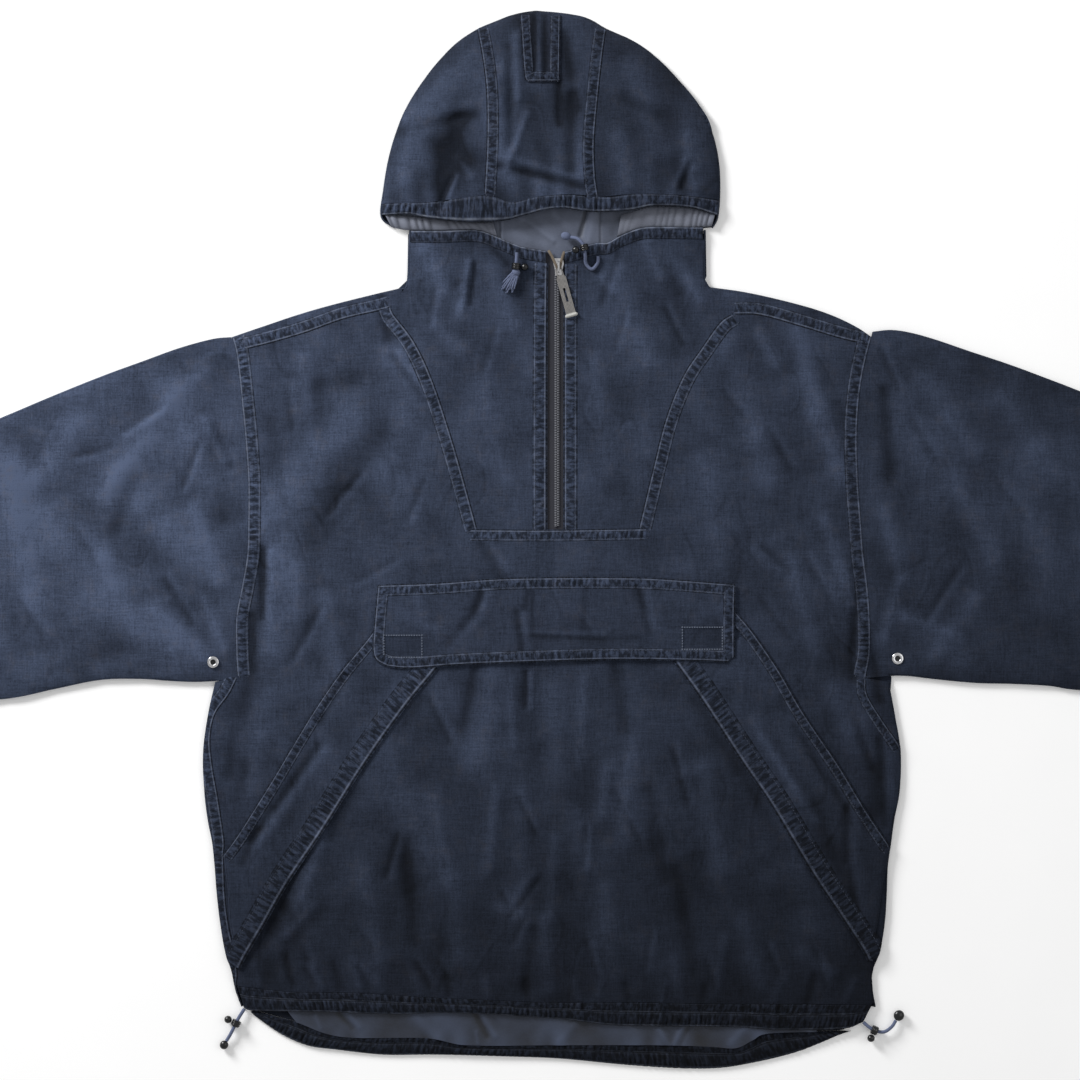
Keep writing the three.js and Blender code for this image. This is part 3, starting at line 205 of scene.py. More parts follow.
# Hood opening: stitched line and edge of the brim, lips of the neck casings, hem casings, lining
BRIM_LINE = [
    (-173, 336), (-126, 337), (-72, 344), (-43, 337), (-20, 342), (16, 344.5), (51, 342), (82, 345),
    (122, 344), (164, 339.5),
]
BRIM_EDGE = [
    (-173, 325), (-145, 325.5), (-128, 322), (-91, 318), (-51, 319.5), (-32, 324), (-8, 330),
    (11, 331), (35, 328), (72, 329), (98, 333.5), (134, 332.4), (162, 325),
]
LIP_LEFT = [
    (-144, 309.2), (-114, 309), (-79, 310), (-60, 304), (-46, 298), (-32, 293), (-9.4, 289),
]
LIP_RIGHT = [
    (9.9, 288), (23, 292), (41, 297), (53, 297.5), (65, 304), (82, 311), (98, 313), (148, 312.6),
]
HEM_EDGE_FRONT = [
    (-310.5, -468.5), (-298, -471), (-233, -471.5), (-165, -474), (-94, -473), (5, -479),
    (58, -485), (106, -486), (179, -487), (227, -490), (288, -488.5), (308, -482),
]
BACK_CASING_INNER = [
    (-301, -470), (-282, -476), (-259, -482), (-214, -496.6), (-129, -498), (-87, -505), (5, -505),
    (106, -505), (155, -506.6), (181, -508), (198, -500), (212, -493.4), (262, -491.6),
    (288, -490.8),
]
BACK_CASING_OUTER = [
    (-305, -472), (-297, -479), (-273, -495), (-247, -506), (-219, -510), (-171.5, -515),
    (-120, -515), (-46, -517), (5, -519), (70, -525), (126, -528.5), (167, -528), (203, -522),
    (239.5, -513), (264, -504), (283, -496), (296, -491.4),
]
HOOD_LINING_EDGE = [
    (-163, 342), (-160, 322), (-136, 313), (-130, 280), (132, 281), (139, 317), (152, 324),
    (154, 350),
]

# Yoke seam from the left shoulder down, along the bottom and up to the right shoulder
YOKE_LEFT = [(-164, 233), (-162, 226), (-141, 198), (-123, 160), (-105, 106), (-91, 58), (-78, 10)]
YOKE_RIGHT = [(84, 11), (99, 74), (111, 120.5), (128, 163), (147, 192), (165, 217), (178, 226)]
NECK_LEFT = [(-164, 233), (-157, 243), (-150, 253), (-148, 262), (-147, 285), (-146, 298)]
NECK_RIGHT = [(178, 226), (164, 243), (155, 253), (150, 262), (150.5, 285), (151, 301)]
ZIP_LEFT_EDGE = [(-9, 10), (-9, 120), (-8.6, 230), (-8, 277)]
ZIP_RIGHT_EDGE = [(9.5, 10), (9.5, 120), (9.6, 230), (9.8, 276)]

# Shoulder seams, armholes and side seams of the front
SHOULDER_LEFT = [(-319, 188.7), (-284, 197.5), (-248, 208), (-212, 221), (-178, 229), (-164, 233)]
SHOULDER_RIGHT = [(178, 226), (205, 225), (245, 214), (285, 202), (313.5, 195.5)]
ARMHOLE_LEFT = [
    (-323, 203), (-319, 188), (-316, 165), (-313.5, 140), (-310, 104), (-307, 60), (-307, 20),
    (-308, -14), (-313, -45), (-319, -78), (-319, -112), (-317.5, -137),
]
ARMHOLE_RIGHT = [
    (316.5, 203), (312.5, 188), (307.5, 165), (304, 140), (302, 104), (303, 60), (306, 20),
    (308.5, -14), (312.5, -45), (315, -78), (315, -112), (310.5, -138),
]
SIDE_LEFT = [
    (-317.5, -137), (-326, -154), (-340, -174), (-345, -198), (-343, -224), (-337, -259),
    (-331, -300), (-331.5, -316), (-330.4, -353), (-327, -383), (-321, -412), (-318, -432),
    (-319, -446),
]
SIDE_RIGHT = [(310.5, -138), (312, -155), (327, -180), (341.5, -201), (345.5, -208)]

EYELETS = {"eyelet_left": (-341.7, -122), "eyelet_right": (342.5, -118.4)}
PATCHES = [
    [(-171, -95), (-133, -95), (-133, -117), (-171, -117)],
    [(127, -87), (167, -87), (167, -109), (127, -109)],
]

# Smaller folds: from, to, width and height of each ridge or, if negative, trough
FINE_FOLDS = [
    (298, -74, 298, -104, 5, -0.9), (297, -112, 299, -138, 6, -0.9), (292, -60, 290, -120, 11, -0.3),
    (140, -160, 168, -206, 6, -0.55), (176, -216, 204, -262, 7, -0.65), (212, -274, 232, -310, 7, -0.45),
    (322, -225, 318, -290, 6, -0.55), (-132, -158, -160, -200, 5, -0.35), (-196, -250, -226, -298, 6, -0.4),
    (-304, -78, -303, -126, 7, -0.8), (-304, -136, -312, -174, 8, -0.5), (-321, -190, -325, -236, 6, -0.5),
    (-284, -152, -298, -212, 9, 0.4), (-207, -134, -236, -183, 4, -0.6), (-298, -290, -312, -324, 5, -0.7),
    (-257, -322, -266, -348, 6, -0.7), (-271, -358, -281, -392, 8, -0.7), (-243, -332, -258, -368, 6, 0.4),
    (-72, -5, -55, -35, 6, -0.5), (-64, -2, -48, -30, 5, 0.5), (205, 206, 222, 176, 7, 0.9),
    (303, -30, 325, -160, 6, -1.0), (-34, -377, -54, -368, 6, 0.8), (52, -230, 48, -275, 7, 0.8),
    (-242, -426, -236, -448, 5, 0.6), (-201, -422, -196, -446, 5, 0.6), (-140, -438, -134, -455, 5, 0.6),
    (248, -414, 277, -434, 8, 0.9), (-120, 215, -95, 190, 9, 0.8), (100, 300, 145, 240, 8, 0.9),
    (350, -77, 405, -100, 5, 0.9), (-130, 290, -95, 225, 10, 0.8), (-60, 270, -40, 215, 9, 0.7),
    (60, 265, 95, 180, 12, 0.8), (40, 180, 55, 70, 10, 0.5), (-70, 150, -50, 60, 12, 0.6),
    (-250, 180, -240, 100, 9, 0.7), (-285, 120, -270, 20, 8, -0.35), (-230, -60, -215, -130, 10, 0.8),
    (-300, 40, -275, -40, 7, 0.6), (190, 150, 215, 60, 14, 0.8), (150, 80, 170, -20, 13, 0.6),
    (270, 20, 292, -40, 7, 0.8), (235, -20, 262, -110, 10, 0.8), (280, -150, 300, -210, 9, 0.7),
    (-60, -140, -80, -230, 16, 0.8), (-5, -150, 5, -240, 11, 0.6), (150, -230, 165, -330, 12, 0.8),
    (-100, -340, -95, -420, 10, 0.8), (-10, -380, -5, -450, 7, 0.6), (50, -350, 60, -440, 9, 0.7),
    (120, -420, 125, -455, 6, 0.6), (190, -380, 205, -445, 8, 0.7), (-190, -330, -175, -420, 11, 0.7),
    (-340, 100, -330, 20, 8, -0.35), (-350, 170, -400, 120, 9, 0.7), (-360, 30, -335, -40, 9, 0.9),
    (-405, 100, -450, 40, 11, 0.8), (-480, 110, -520, 50, 13, 0.7), (-540, 70, -520, -60, 16, 0.9),
    (-350, -60, -330, -110, 6, 0.8), (-400, -70, -350, -118, 8, 0.9), (-450, -20, -420, -90, 10, 0.7),
    (-590, 60, -570, -100, 18, 0.9), (-700, 20, -690, -100, 16, 0.9), (-800, -20, -790, -110, 13, 0.8),
    (330, 150, 335, 60, 7, -0.8), (330, 30, 350, -40, 8, 0.8), (370, 160, 420, 90, 11, 0.8),
    (400, 60, 440, -20, 12, 0.8), (420, -60, 380, -118, 9, 0.8), (450, 140, 500, 60, 14, 0.7),
    (520, 90, 540, -40, 15, 0.9), (580, 60, 570, -90, 16, 0.9), (690, 20, 670, -90, 16, 0.9),
    (790, 0, 780, -100, 13, 0.8), (345, -40, 330, -100, 6, 0.8), (-150, 120, -175, 60, 12, 0.6),
    (-162, 184, -130, 140, 4, -0.9), (-154, 186, -122, 144, 5, 0.7), (-173, 243, -166, 201, 5, -0.7),
    (-238, 156, -238, 104, 9, -0.7), (-292, -11, -292, -78, 4, -0.9), (-284, -14, -284, -80, 5, 0.7),
    (-257, -28, -257, -78, 9, 0.6), (-348, 119, -329, 80, 5, 0.8), (-340, 112, -324, 74, 3.5, -0.7),
    (-86, 278, -92, 232, 4, 0.9), (-80, 276, -85, 236, 3.5, -0.8), (-100, 255, -104, 228, 7, -0.6),
    (92, 296, 108, 262, 6, 0.8), (104, 296, 126, 250, 9, -0.8), (48, 262, 60, 246, 4, 0.7),
    (64, 284, 46, 236, 4, -0.6), (-60, 290, -48, 276, 3, -0.6), (200, -10, 224, -32, 5, 0.6),
    (208, -8, 234, -30, 4, -0.6), (-24, -132, -24, -168, 3, 0.9), (-29, -132, -30, -166, 3, -0.8),
    (-80, -130, -92, -190, 6, -0.7), (60, -126, 70, -190, 7, -0.6), (-420, 60, -440, 10, 8, -0.8),
    (-58, -250, -66, -330, 6, 0.8), (-44, -140, -40, -205, 4.5, 0.7), (30, -140, 26, -225, 6, 0.6),
    (80, -200, 70, -300, 8, 0.7), (-120, -260, -105, -340, 7, 0.7), (-150, -300, -140, -400, 8, -0.8),
    (120, -330, 140, -430, 8, -0.7), (0, -300, -4, -380, 6, 0.6), (-20, -390, -30, -450, 5, -0.6),
    (40, -400, 45, -455, 5, 0.6), (95, -250, 110, -340, 7, -0.7), (170, -400, 160, -455, 5, 0.6),
    (-230, -290, -250, -360, 8, 0.7), (-215, -250, -260, -320, 6, -0.6), (200, -180, 250, -260, 7, 0.6),
    (270, -290, 300, -370, 7, -0.6), (-270, -415, -262, -446, 4, -0.7), (-222, -424, -214, -448, 4, -0.6),
    (-178, -436, -172, -450, 3.5, 0.6), (-110, -438, -106, -455, 3.5, -0.6), (-70, -440, -66, -458, 3.5, 0.6),
    (-30, -442, -26, -460, 3.5, -0.5), (20, -442, 24, -460, 3.5, 0.6), (70, -444, 74, -460, 3.5, -0.6),
    (110, -444, 106, -462, 3.5, 0.6), (150, -446, 146, -462, 3.5, -0.5), (225, -440, 219, -463, 4, 0.6),
    (260, -436, 252, -463, 4, -0.7), (300, -440, 290, -463, 4, 0.6), (-300, -425, -296, -446, 4, 0.6),
]

# Sharp creases, each a narrow trough with a ridge pushed up on its left: from, to, width, depth
PLEATS = [
    (-125, -161, -105, -202, 3.4, 1.0), (-157.5, -295, -169, -336.5, 3.2, 1.0),
    (-36, -259, -19, -295, 3.0, 1.1),
    (31, -287, 28.5, -326, 2.6, 1.0), (-53, -354, -42.5, -375, 3.0, 1.0), (-42.5, -375, -17, -339, 3.4, 0.9),
    (-32, -380, -42.5, -404, 2.8, 0.8), (-249, -429, -236, -450, 2.8, 0.9),
    (-197, -427, -185, -448, 2.8, 1.0), (-138, -424, -125, -445, 3.0, 1.0),
    (-252, -409, -244, -427, 3.0, 0.8), (-117, -422, -104, -440, 2.6, 0.8),
    (-192, -396, -182, -409, 3.0, 0.7), (-236, -206, -303, -300, 4.6, 1.2),
    (-283, -383, -292, -404, 8.0, 1.0),
    (-240, -366, -268, -396, 5.0, -0.8), (-309, -222, -312, -250, 6.0, 0.8), (60, -250, 84, -300, 3.0, 0.8),
    (118, -210, 132, -262, 3.4, 0.9), (30, -398, 44, -440, 3.0, 0.8), (96, -392, 90, -430, 2.8, 0.7),
    (152, -420, 160, -446, 2.6, 0.8), (212, -408, 226, -440, 3.0, 0.9), (262, -412, 270, -446, 2.8, 0.8),
    (206, -196, 262, -282, 4.2, -1.0), (296, -330, 302, -380, 4.0, 0.8), (300, -180, 318, -230, 4.0, 0.8),
    (-196, 66, -226, 28, 3.4, 0.7), (-268, 150, -262, 112, 3.0, 0.7), (-130, 60, -148, 20, 3.6, 0.6),
    (-236, -70, -262, -118, 3.6, 0.8), (-160, -20, -196, -40, 3.4, 0.5), (214, 110, 236, 70, 3.4, 0.8),
    (168, 150, 190, 122, 3.0, 0.6), (252, -20, 276, -62, 3.4, 0.8), (206, -60, 236, -100, 3.4, 0.6),
    (-394, 132, -430, 110, 3.6, 0.8), (-356, 96, -372, 52, 3.2, 0.9), (-446, 92, -478, 84, 3.4, 0.7),
    (-390, -40, -362, -84, 3.6, 0.8), (-480, 10, -452, -30, 4.0, 0.7), (-536, -60, -512, -96, 4.0, 0.6),
    (358, 120, 380, 80, 3.6, 0.8), (402, -30, 372, -78, 3.6, 0.8), (440, 60, 470, 20, 4.0, 0.6),
    (520, 40, 534, -10, 4.0, 0.6), (326, 190, 344, 150, 3.0, 0.8), (-120, 250, -126, 214, 3.0, 0.7),
    (110, 232, 128, 196, 3.0, 0.8), (70, 226, 60, 190, 3.0, 0.6), (-60, 212, -72, 170, 3.4, 0.5),
    (304, -60, 300, -112, 4.5, 1.3), (326, -200, 330, -285, 5.0, 1.2), (240, -186, 292, -268, 4.5, 1.2),
    (292, -268, 292, -322, 4.5, 1.0), (620, 40, 600, -30, 5.0, 0.7), (700, -20, 690, -80, 5.0, 0.7),
    (-620, 20, -600, -60, 5.0, 0.7),
    (-720, 0, -706, -70, 5.0, 0.7), (768, 10, 760, -60, 5.0, 0.6), (-784, -20, -772, -90, 5.0, 0.6),
]

# Creases of the flap, with the pressed outline of what lay in the pocket, and of the hood
FLAP_FOLDS = [
    (-73, -50, -78, -66, 4.6, -0.9), (-81, -73, -90, -86, 5.6, -0.9), (-95, -92, -105, -102, 5, -0.5),
    (-66, -54, -70, -65, 5, 0.6), (-73, -71, -83, -85, 6, 0.6), (-88, -90, -98, -100, 6, 0.4),
    (-38, -72, -36, -88, 4, -0.7), (-34, -95, -33, -110, 3.4, -0.6), (-31, -76, -27, -108, 4.4, 0.6),
    (-27, -52, -30, -68, 3.2, -0.5), (85, -48, 88, -66, 4.4, -0.8), (90, -73, 95, -92, 4.6, -0.5),
    (92, -52, 100, -88, 6, 0.5), (-22, -96, 13, -97.4, 2.8, -0.6), (17, -97.6, 50, -99, 2.6, -0.5),
    (54, -99, 85, -98, 2.6, -0.3), (-22, -92.6, 50, -95.4, 3, 0.4),
    (30, -50, 28, -90, 3, -0.35), (-22, -52, -22, -94, 2.4, -0.4), (-140, -50, -128, -85, 5, 0.4),
    (130, -60, 170, -72, 8, 0.4), (-150, -76, -120, -90, 6, 0.35),
]
HOOD_FOLDS = [
    (-60, 455, -45, 360, 14, 1.2), (-20, 440, -12, 370, 10, -1.0), (4, 457, 5, 415, 4, -0.8),
    (20, 450, 26, 370, 9, 0.9), (-110, 460, -135, 380, 16, 1.3), (-95, 420, -110, 350, 11, -1.0),
    (-140, 420, -150, 360, 10, 1.0), (80, 470, 110, 390, 15, 1.2), (65, 400, 75, 352, 10, 0.9),
    (110, 420, 125, 360, 12, -1.0), (135, 400, 142, 356, 8, 0.9), (-40, 500, -50, 470, 8, 0.8),
    (-16, 448, -16, 361, 14, 0.9), (-46, 492, -44, 395, 5, -1.1), (-38, 505, -36, 440, 5, 0.9),
    (18, 443, 18, 370, 7, -1.0), (10, 505, 22, 430, 6, -0.9), (-28, 424, -47, 370, 4, 0.9),
    (-55, 373, 33, 351, 4.5, -1.2), (-52, 381, 30, 359, 5, 0.7), (-130, 430, -85, 475, 14, 1.2),
    (-156, 409, -79, 424, 6, -1.0), (-150, 418, -84, 433, 7, 0.6), (-120, 395, -85, 380, 12, -1.0),
    (-103, 361, -113, 337, 3.2, -1.2), (-98, 362, -107, 340, 3.5, 0.9), (-96, 380, -82, 362, 3.5, 0.8),
    (130, 378, 120, 353, 4, 0.9), (136, 376, 126, 353, 3.5, -0.8), (70, 440, 100, 425, 7, -0.7),
    (-16, 525, -15, 462, 3, 0.8), (-21, 522, -20, 464, 2.4, -0.7), (-10, 522, -9, 466, 2.6, -0.5),
]


# Lines in plan

def smooth(points, step=4.0):
    """Catmull-Rom curve through the points, sampled about one step apart."""
    p = np.asarray(points, float)
    ends = np.vstack([2 * p[0] - p[1], p, 2 * p[-1] - p[-2]])
    parts = []
    for a, b, c, d in zip(ends, ends[1:], ends[2:], ends[3:]):
        count = max(1, math.ceil(np.linalg.norm(c - b) / step))
        t = (np.arange(count) / count)[:, None]
        bend = (2 * a - 5 * b + 4 * c - d) * t**2 + (3 * b - a - 3 * c + d) * t**3
        parts.append(0.5 * (2 * b + (c - a) * t + bend))
    return np.vstack(parts + [p[-1:]])


def along(line):
    """Length from the line's start to each of its points."""
    return np.concatenate([[0], np.cumsum(np.linalg.norm(np.diff(line, axis=0), axis=1))])


def resample(line, count):
    """The line as count points equally far apart along it."""
    run = along(line)
    where = np.linspace(0, run[-1], count)
    return np.stack([np.interp(where, run, line[:, k]) for k in range(line.shape[1])], 1)


def outline(*lines):
    """One closed outline, anticlockwise, from lines that follow each other; each is smoothed by itself."""
    ring = np.vstack([smooth(line)[:-1] if len(line) > 2 else np.asarray(line, float)[:-1] for line in lines])
    x, y = ring.T
    area = np.sum(x * np.roll(y, -1) - y * np.roll(x, -1))
    return ring if area > 0 else ring[::-1]


def to_stretch(x, y, start, end):
    """Distance from points to a straight stretch, and the nearest places on it."""
    (ax, ay), (bx, by) = start, end
    dx, dy = bx - ax, by - ay
    t = np.clip(((x - ax) * dx + (y - ay) * dy) / max(dx * dx + dy * dy, 1e-9), 0, 1)
    nx, ny = ax + t * dx, ay + t * dy
    return np.hypot(x - nx, y - ny), nx, ny


def distance(x, y, line):
    """Least distance from points to a line's stretches."""
    best = np.full(np.shape(x), 1e9)
    for start, end in zip(line, line[1:]):
        best = np.minimum(best, to_stretch(x, y, start, end)[0])
    return best


def nearest(x, y, ring):
    """The places on a closed outline nearest to the points."""
    best, bx, by = np.full(np.shape(x), 1e9), x.copy(), y.copy()
    for start, end in zip(ring, np.roll(ring, -1, 0)):
        off, nx, ny = to_stretch(x, y, start, end)
        closer = off < best
        best, bx, by = np.where(closer, off, best), np.where(closer, nx, bx), np.where(closer, ny, by)
    return bx, by


def inside(x, y, ring):
    """Whether points lie in a closed outline: an odd number of its stretches lie to their right."""
    odd = np.zeros(np.shape(x), bool)
    for (ax, ay), (bx, by) in zip(ring, np.roll(ring, -1, 0)):
        if ay == by:
            continue
        crosses = (ay > y) != (by > y)
        odd ^= crosses & (x < (bx - ax) * (y - ay) / (by - ay) + ax)
    return odd


# Height of the laid cloth

def fold_lines():
    """The lines that the flattened body and sleeves fold along."""
    lines = []
    for side, sleeve in ((1, SLEEVE_LEFT), (2, SLEEVE_RIGHT)):
        upper = [(row[side], row[0]) for row in BODY_SECTIONS if row[0] > 203][::-1]
        lower = [(row[side], row[0]) for row in BODY_SECTIONS if row[0] < -140]
        outward = sleeve[1:][::-1]
        lines.append([(row[0], row[1]) for row in outward] + upper)
        lines.append([(row[2], row[3]) for row in outward] + lower)
    return lines


BODY_FOLDS = fold_lines()
HOOD_RING = [(r[1], r[0]) for r in HOOD_SECTIONS][::-1] + [(r[2], r[0]) for r in HOOD_SECTIONS]


def roll(off, reach):
    """A quarter round: 0 on the fold, 1 at the end of its roll."""
    return np.sqrt(1 - np.clip(1 - off / reach, 0, 1) ** 2)


def folds(x, y, table):
    """Sum of soft ridges, each a bell across its line."""
    total = np.zeros(np.shape(x))
    for ax, ay, bx, by, width, up in table:
        total += up * np.exp(-((to_stretch(x, y, (ax, ay), (bx, by))[0] / width) ** 2))
    return total


def both_sides(table, apart=1.7, wider=1.5, lower=0.75):
    """For each sharp crease its trough and, 1.7 widths to the left, its wider and lower ridge."""
    rows = []
    for ax, ay, bx, by, width, deep in table:
        far = apart * width / math.hypot(bx - ax, by - ay)
        dx, dy = (ay - by) * far, (bx - ax) * far
        rows.append((ax, ay, bx, by, width, -deep))
        rows.append((ax + dx, ay + dy, bx + dx, by + dy, wider * width, lower * deep))
    return rows


SHARP_FOLDS = both_sides(PLEATS)


def uneven(x, y):
    """Small swells: five sine waves of unlike direction, each bent by another."""
    a = np.sin(x / 23 + 1.3 * np.sin(y / 41 + 0.4)) * np.sin(y / 31 + 1.1 * np.sin(x / 53))
    b = np.sin((x + y) / 17 + 1.7 * np.sin((x - y) / 37)) * np.sin((x - 2 * y) / 47)
    c = np.sin((2 * x - y) / 19 + 1.9 * np.sin(y / 13 + x / 71)) * np.sin((x + 3 * y) / 83 + 2)
    return 0.30 * a + 0.22 * b + 0.16 * c


def body_relief(x, y):
    """Creases and small swells of the body and sleeves."""
    fine = FOLD_DEPTH * folds(x, y, FINE_FOLDS) + SHARP_DEPTH * folds(x, y, SHARP_FOLDS)
    return folds(x, y, CREASES) + fine + SWELL * uneven(x, y)


def body(x, y):
    """Body and sleeves: fold height and, past the roll at the folds, the rise and the relief."""
    off = np.full(np.shape(x), 1e9)
    for line in BODY_FOLDS:
        off = np.minimum(off, distance(x, y, line))
    return FOLD_HEIGHT + roll(off, BODY_ROLL) * (BODY_RISE + body_relief(x, y))


def hood_relief(x, y):
    """Gathers that run up from the brim, the listed creases and swells."""
    gathers = 0.9 * np.sin(x / 17 + np.sin(y / 40))
    from_brim = np.exp(-np.clip(y - 342, 0, None) / 34)
    fine = 0.8 * np.sin(x / 4.3 + 1.4 * np.sin(x / 19) + y / 60) * from_brim
    return gathers + FOLD_DEPTH * folds(x, y, HOOD_FOLDS) + fine + SWELL * 1.3 * uneven(x * 0.8, y * 0.8)


def hood(x, y):
    """Hood: a wide roll from its fold, with its relief."""
    lift = roll(distance(x, y, HOOD_RING), HOOD_ROLL)
    return FOLD_HEIGHT + lift * HOOD_RISE + hood_relief(x, y) * lift**2


def raised(height, by):
    """A height function moved up."""
    return lambda x, y: height(x, y) + by


# Parts of meshes: points, faces of four, and each point's place on its seam

def grid_faces(rows, columns, flip=False):
    """Faces of a grid whose points are listed row by row."""
    index = np.arange(rows * columns).reshape(rows, columns)
    a, b, c, d = index[:-1, :-1], index[1:, :-1], index[1:, 1:], index[:-1, 1:]
    faces = np.stack([a, b, c, d], -1).reshape(-1, 4)
    return faces[:, ::-1] if flip else faces


def part(points, faces, along_m=0.0, across=0.0, relief=0.0):
    """Points and faces with, for each point, its place along and across a seam and its relief."""
    points = np.asarray(points, float).reshape(-1, 3)
    place = [np.broadcast_to(np.ravel(value), len(points)) for value in (along_m, across, relief)]
    return points, faces, np.stack(place, 1)


def spread(ring, height, step, relief=body_relief):
    """Cloth over a plan outline: a square grid, its outermost points moved on to the outline, and
    z = height(x, y). Each point keeps its relief, which the finishes paint as shade in troughs and as light
    on ridges, where the cloth is also worn paler."""
    lo, hi = ring.min(0) - step, ring.max(0) + 2 * step
    gx, gy = np.meshgrid(np.arange(lo[0], hi[0], step), np.arange(lo[1], hi[1], step))
    keep = inside(gx[:-1, :-1] + step / 2, gy[:-1, :-1] + step / 2, ring)
    index = np.arange(gx.size).reshape(gx.shape)
    corners = (index[:-1, :-1], index[:-1, 1:], index[1:, 1:], index[1:, :-1])
    faces = np.stack([corner[keep] for corner in corners], 1)
    shared = np.bincount(faces.ravel(), minlength=gx.size)
    x, y = gx.ravel(), gy.ravel()
    rim = (shared > 0) & (shared < 4)
    x[rim], y[rim] = nearest(x[rim], y[rim], ring)
    used = shared > 0
    renumber = np.cumsum(used) - 1
    x, y = x[used], y[used]
    return part(np.stack([x, y, height(x, y)], 1), renumber[faces], relief=relief(x, y))


def side_steps(line, closed=False):
    """Unit steps to the left of a line at each of its points."""
    if closed:
        run = np.roll(line, -1, 0) - np.roll(line, 1, 0)
    else:
        run = np.gradient(line, axis=0)
    run = run / np.maximum(np.linalg.norm(run, axis=1, keepdims=True), 1e-9)
    return np.stack([-run[:, 1], run[:, 0]], 1)


def edge(ring, height, profile, closed=True, side=1):
    """Turned edge along an outline: profile lists how far in, and how far down from the cloth, or the
    height itself where it is given as a third value."""
    line = np.vstack([ring, ring[:1]]) if closed else np.asarray(ring)
    line = resample(line, max(8, int(along(line)[-1] / 3)))
    line = line[:-1] if closed else line
    inward = side_steps(line, closed) * side
    rows = []
    for off, down, level in profile:
        x, y = line[:, 0] + inward[:, 0] * off, line[:, 1] + inward[:, 1] * off
        rows.append(np.stack([x, y, height(x, y) - down if level is None else np.full(len(x), level)], 1))
    rows = np.stack(rows, 1)
    rows = np.concatenate([rows, rows[:1]]) if closed else rows
    return part(rows, grid_faces(rows.shape[0], rows.shape[1], flip=side > 0))


# Edge profiles: how far in, how far down from the cloth, and the height itself where it is fixed
CUT_EDGE = [(1.3, 0.0, None), (0.35, 0.12, None), (0.0, 0.5, None), (0.1, 1.0, None), (0.6, 1.3, None)]
FOLD_EDGE = [
    (1.6, -0.02, None), (0.4, 0.5, None), (0.0, 0, 2.6), (0.1, 0, 1.5), (0.7, 0, 0.5),
    (2.4, 0, UNDERSIDE_LEVEL),
]

# A felled seam across its width: share of the width, share of its rise
BAND_PROFILE = np.array([
    (-0.1, -0.1), (-0.04, 0.12), (0, 0.1), (0.05, 0.7), (0.1, 0.95), (0.16, 0.45), (0.24, 0.8),
    (0.36, 0.95), (0.5, 1), (0.64, 0.95), (0.76, 0.8), (0.84, 0.4), (0.9, 0.7), (0.96, 0.5),
    (1.0, 0.14), (1.08, -0.1),
])
BAND_ACROSS, BAND_RISE = BAND_PROFILE.T


def band(line, width, side, height, seed, lift=0.75, pucker=0.55, pitch=SEAM_PITCH, ring=None):
    """Felled seam beside a line: cloth that steps up, dips at two rows of stitches and drops back.
    Its puckers are a sine of the length, of wandering phase, slanted a little across the seam."""
    curve = smooth(line)
    path = resample(curve, max(4, int(along(curve)[-1] / 1.5)))
    run = along(path)
    left = side_steps(path) * side
    across = BAND_ACROSS[None, :]
    x = path[:, :1] + left[:, :1] * across * width
    y = path[:, 1:] + left[:, 1:] * across * width
    if ring is not None:
        out = ~inside(x, y, ring)
        x[out], y[out] = nearest(x[out], y[out], ring)
    u = run[:, None]
    wander = 1.7 * np.sin(u / 19 + seed) + 1.2 * np.sin(u / 7.3 + 2 * seed)
    phase = 2 * np.pi * u / pitch + wander + 1.5 * across
    strength = 0.55 + 0.45 * np.sin(u / 31 + 3 * seed)
    ripple = np.sin(phase) * np.sin(np.pi * np.clip(across * 1.06, 0, 1)) * strength
    fade = np.clip(np.minimum(u, run[-1] - u) / 3, 0, 1)
    z = height(x, y) + fade * (BAND_RISE[None, :] * lift + pucker * ripple) - (1 - fade) * 0.3
    # The pucker ripple is stored as relief, which the finish paints as light and shade on the puckers
    place = np.broadcast_to(u * MM, x.shape), np.broadcast_to(across, x.shape), ripple
    return part(np.stack([x, y, z], -1), grid_faces(*x.shape, flip=side < 0), *place)


def stitches(line, offset, height, pitch=STITCH_PITCH, ring=None, wide=0.24):
    """Thread showing along a row: for each stitch a flat spindle of six corners, sunk at both ends.
    Those that would lie outside the ring are left out."""
    curve = smooth(line)
    path = resample(curve, max(4, int(along(curve)[-1] / pitch)))
    left = side_steps(path)
    at = path + left * offset
    if ring is not None:
        kept = inside(at[:, 0], at[:, 1], ring) & (distance(at[:, 0], at[:, 1], ring) > 1.0)
        at, left = at[kept], left[kept]
    ahead = np.stack([left[:, 1], -left[:, 0]], 1)
    corners = [(-0.5, 0), (-0.2, wide), (0.2, wide), (0.5, 0), (0.2, -wide), (-0.2, -wide)]
    points = []
    for forward, sideways in corners:
        spot = at + ahead * forward * STITCH_LENGTH + left * sideways
        up = 0.22 - 0.5 * abs(forward) ** 2 * 2
        points.append(np.column_stack([spot, height(at[:, 0], at[:, 1]) + up]))
    points = np.stack(points, 1)
    first = np.arange(len(at))[:, None] * 6
    faces = np.concatenate([first + [[0, 5, 4, 3]], first + [[0, 3, 2, 1]]])
    return part(points, faces)


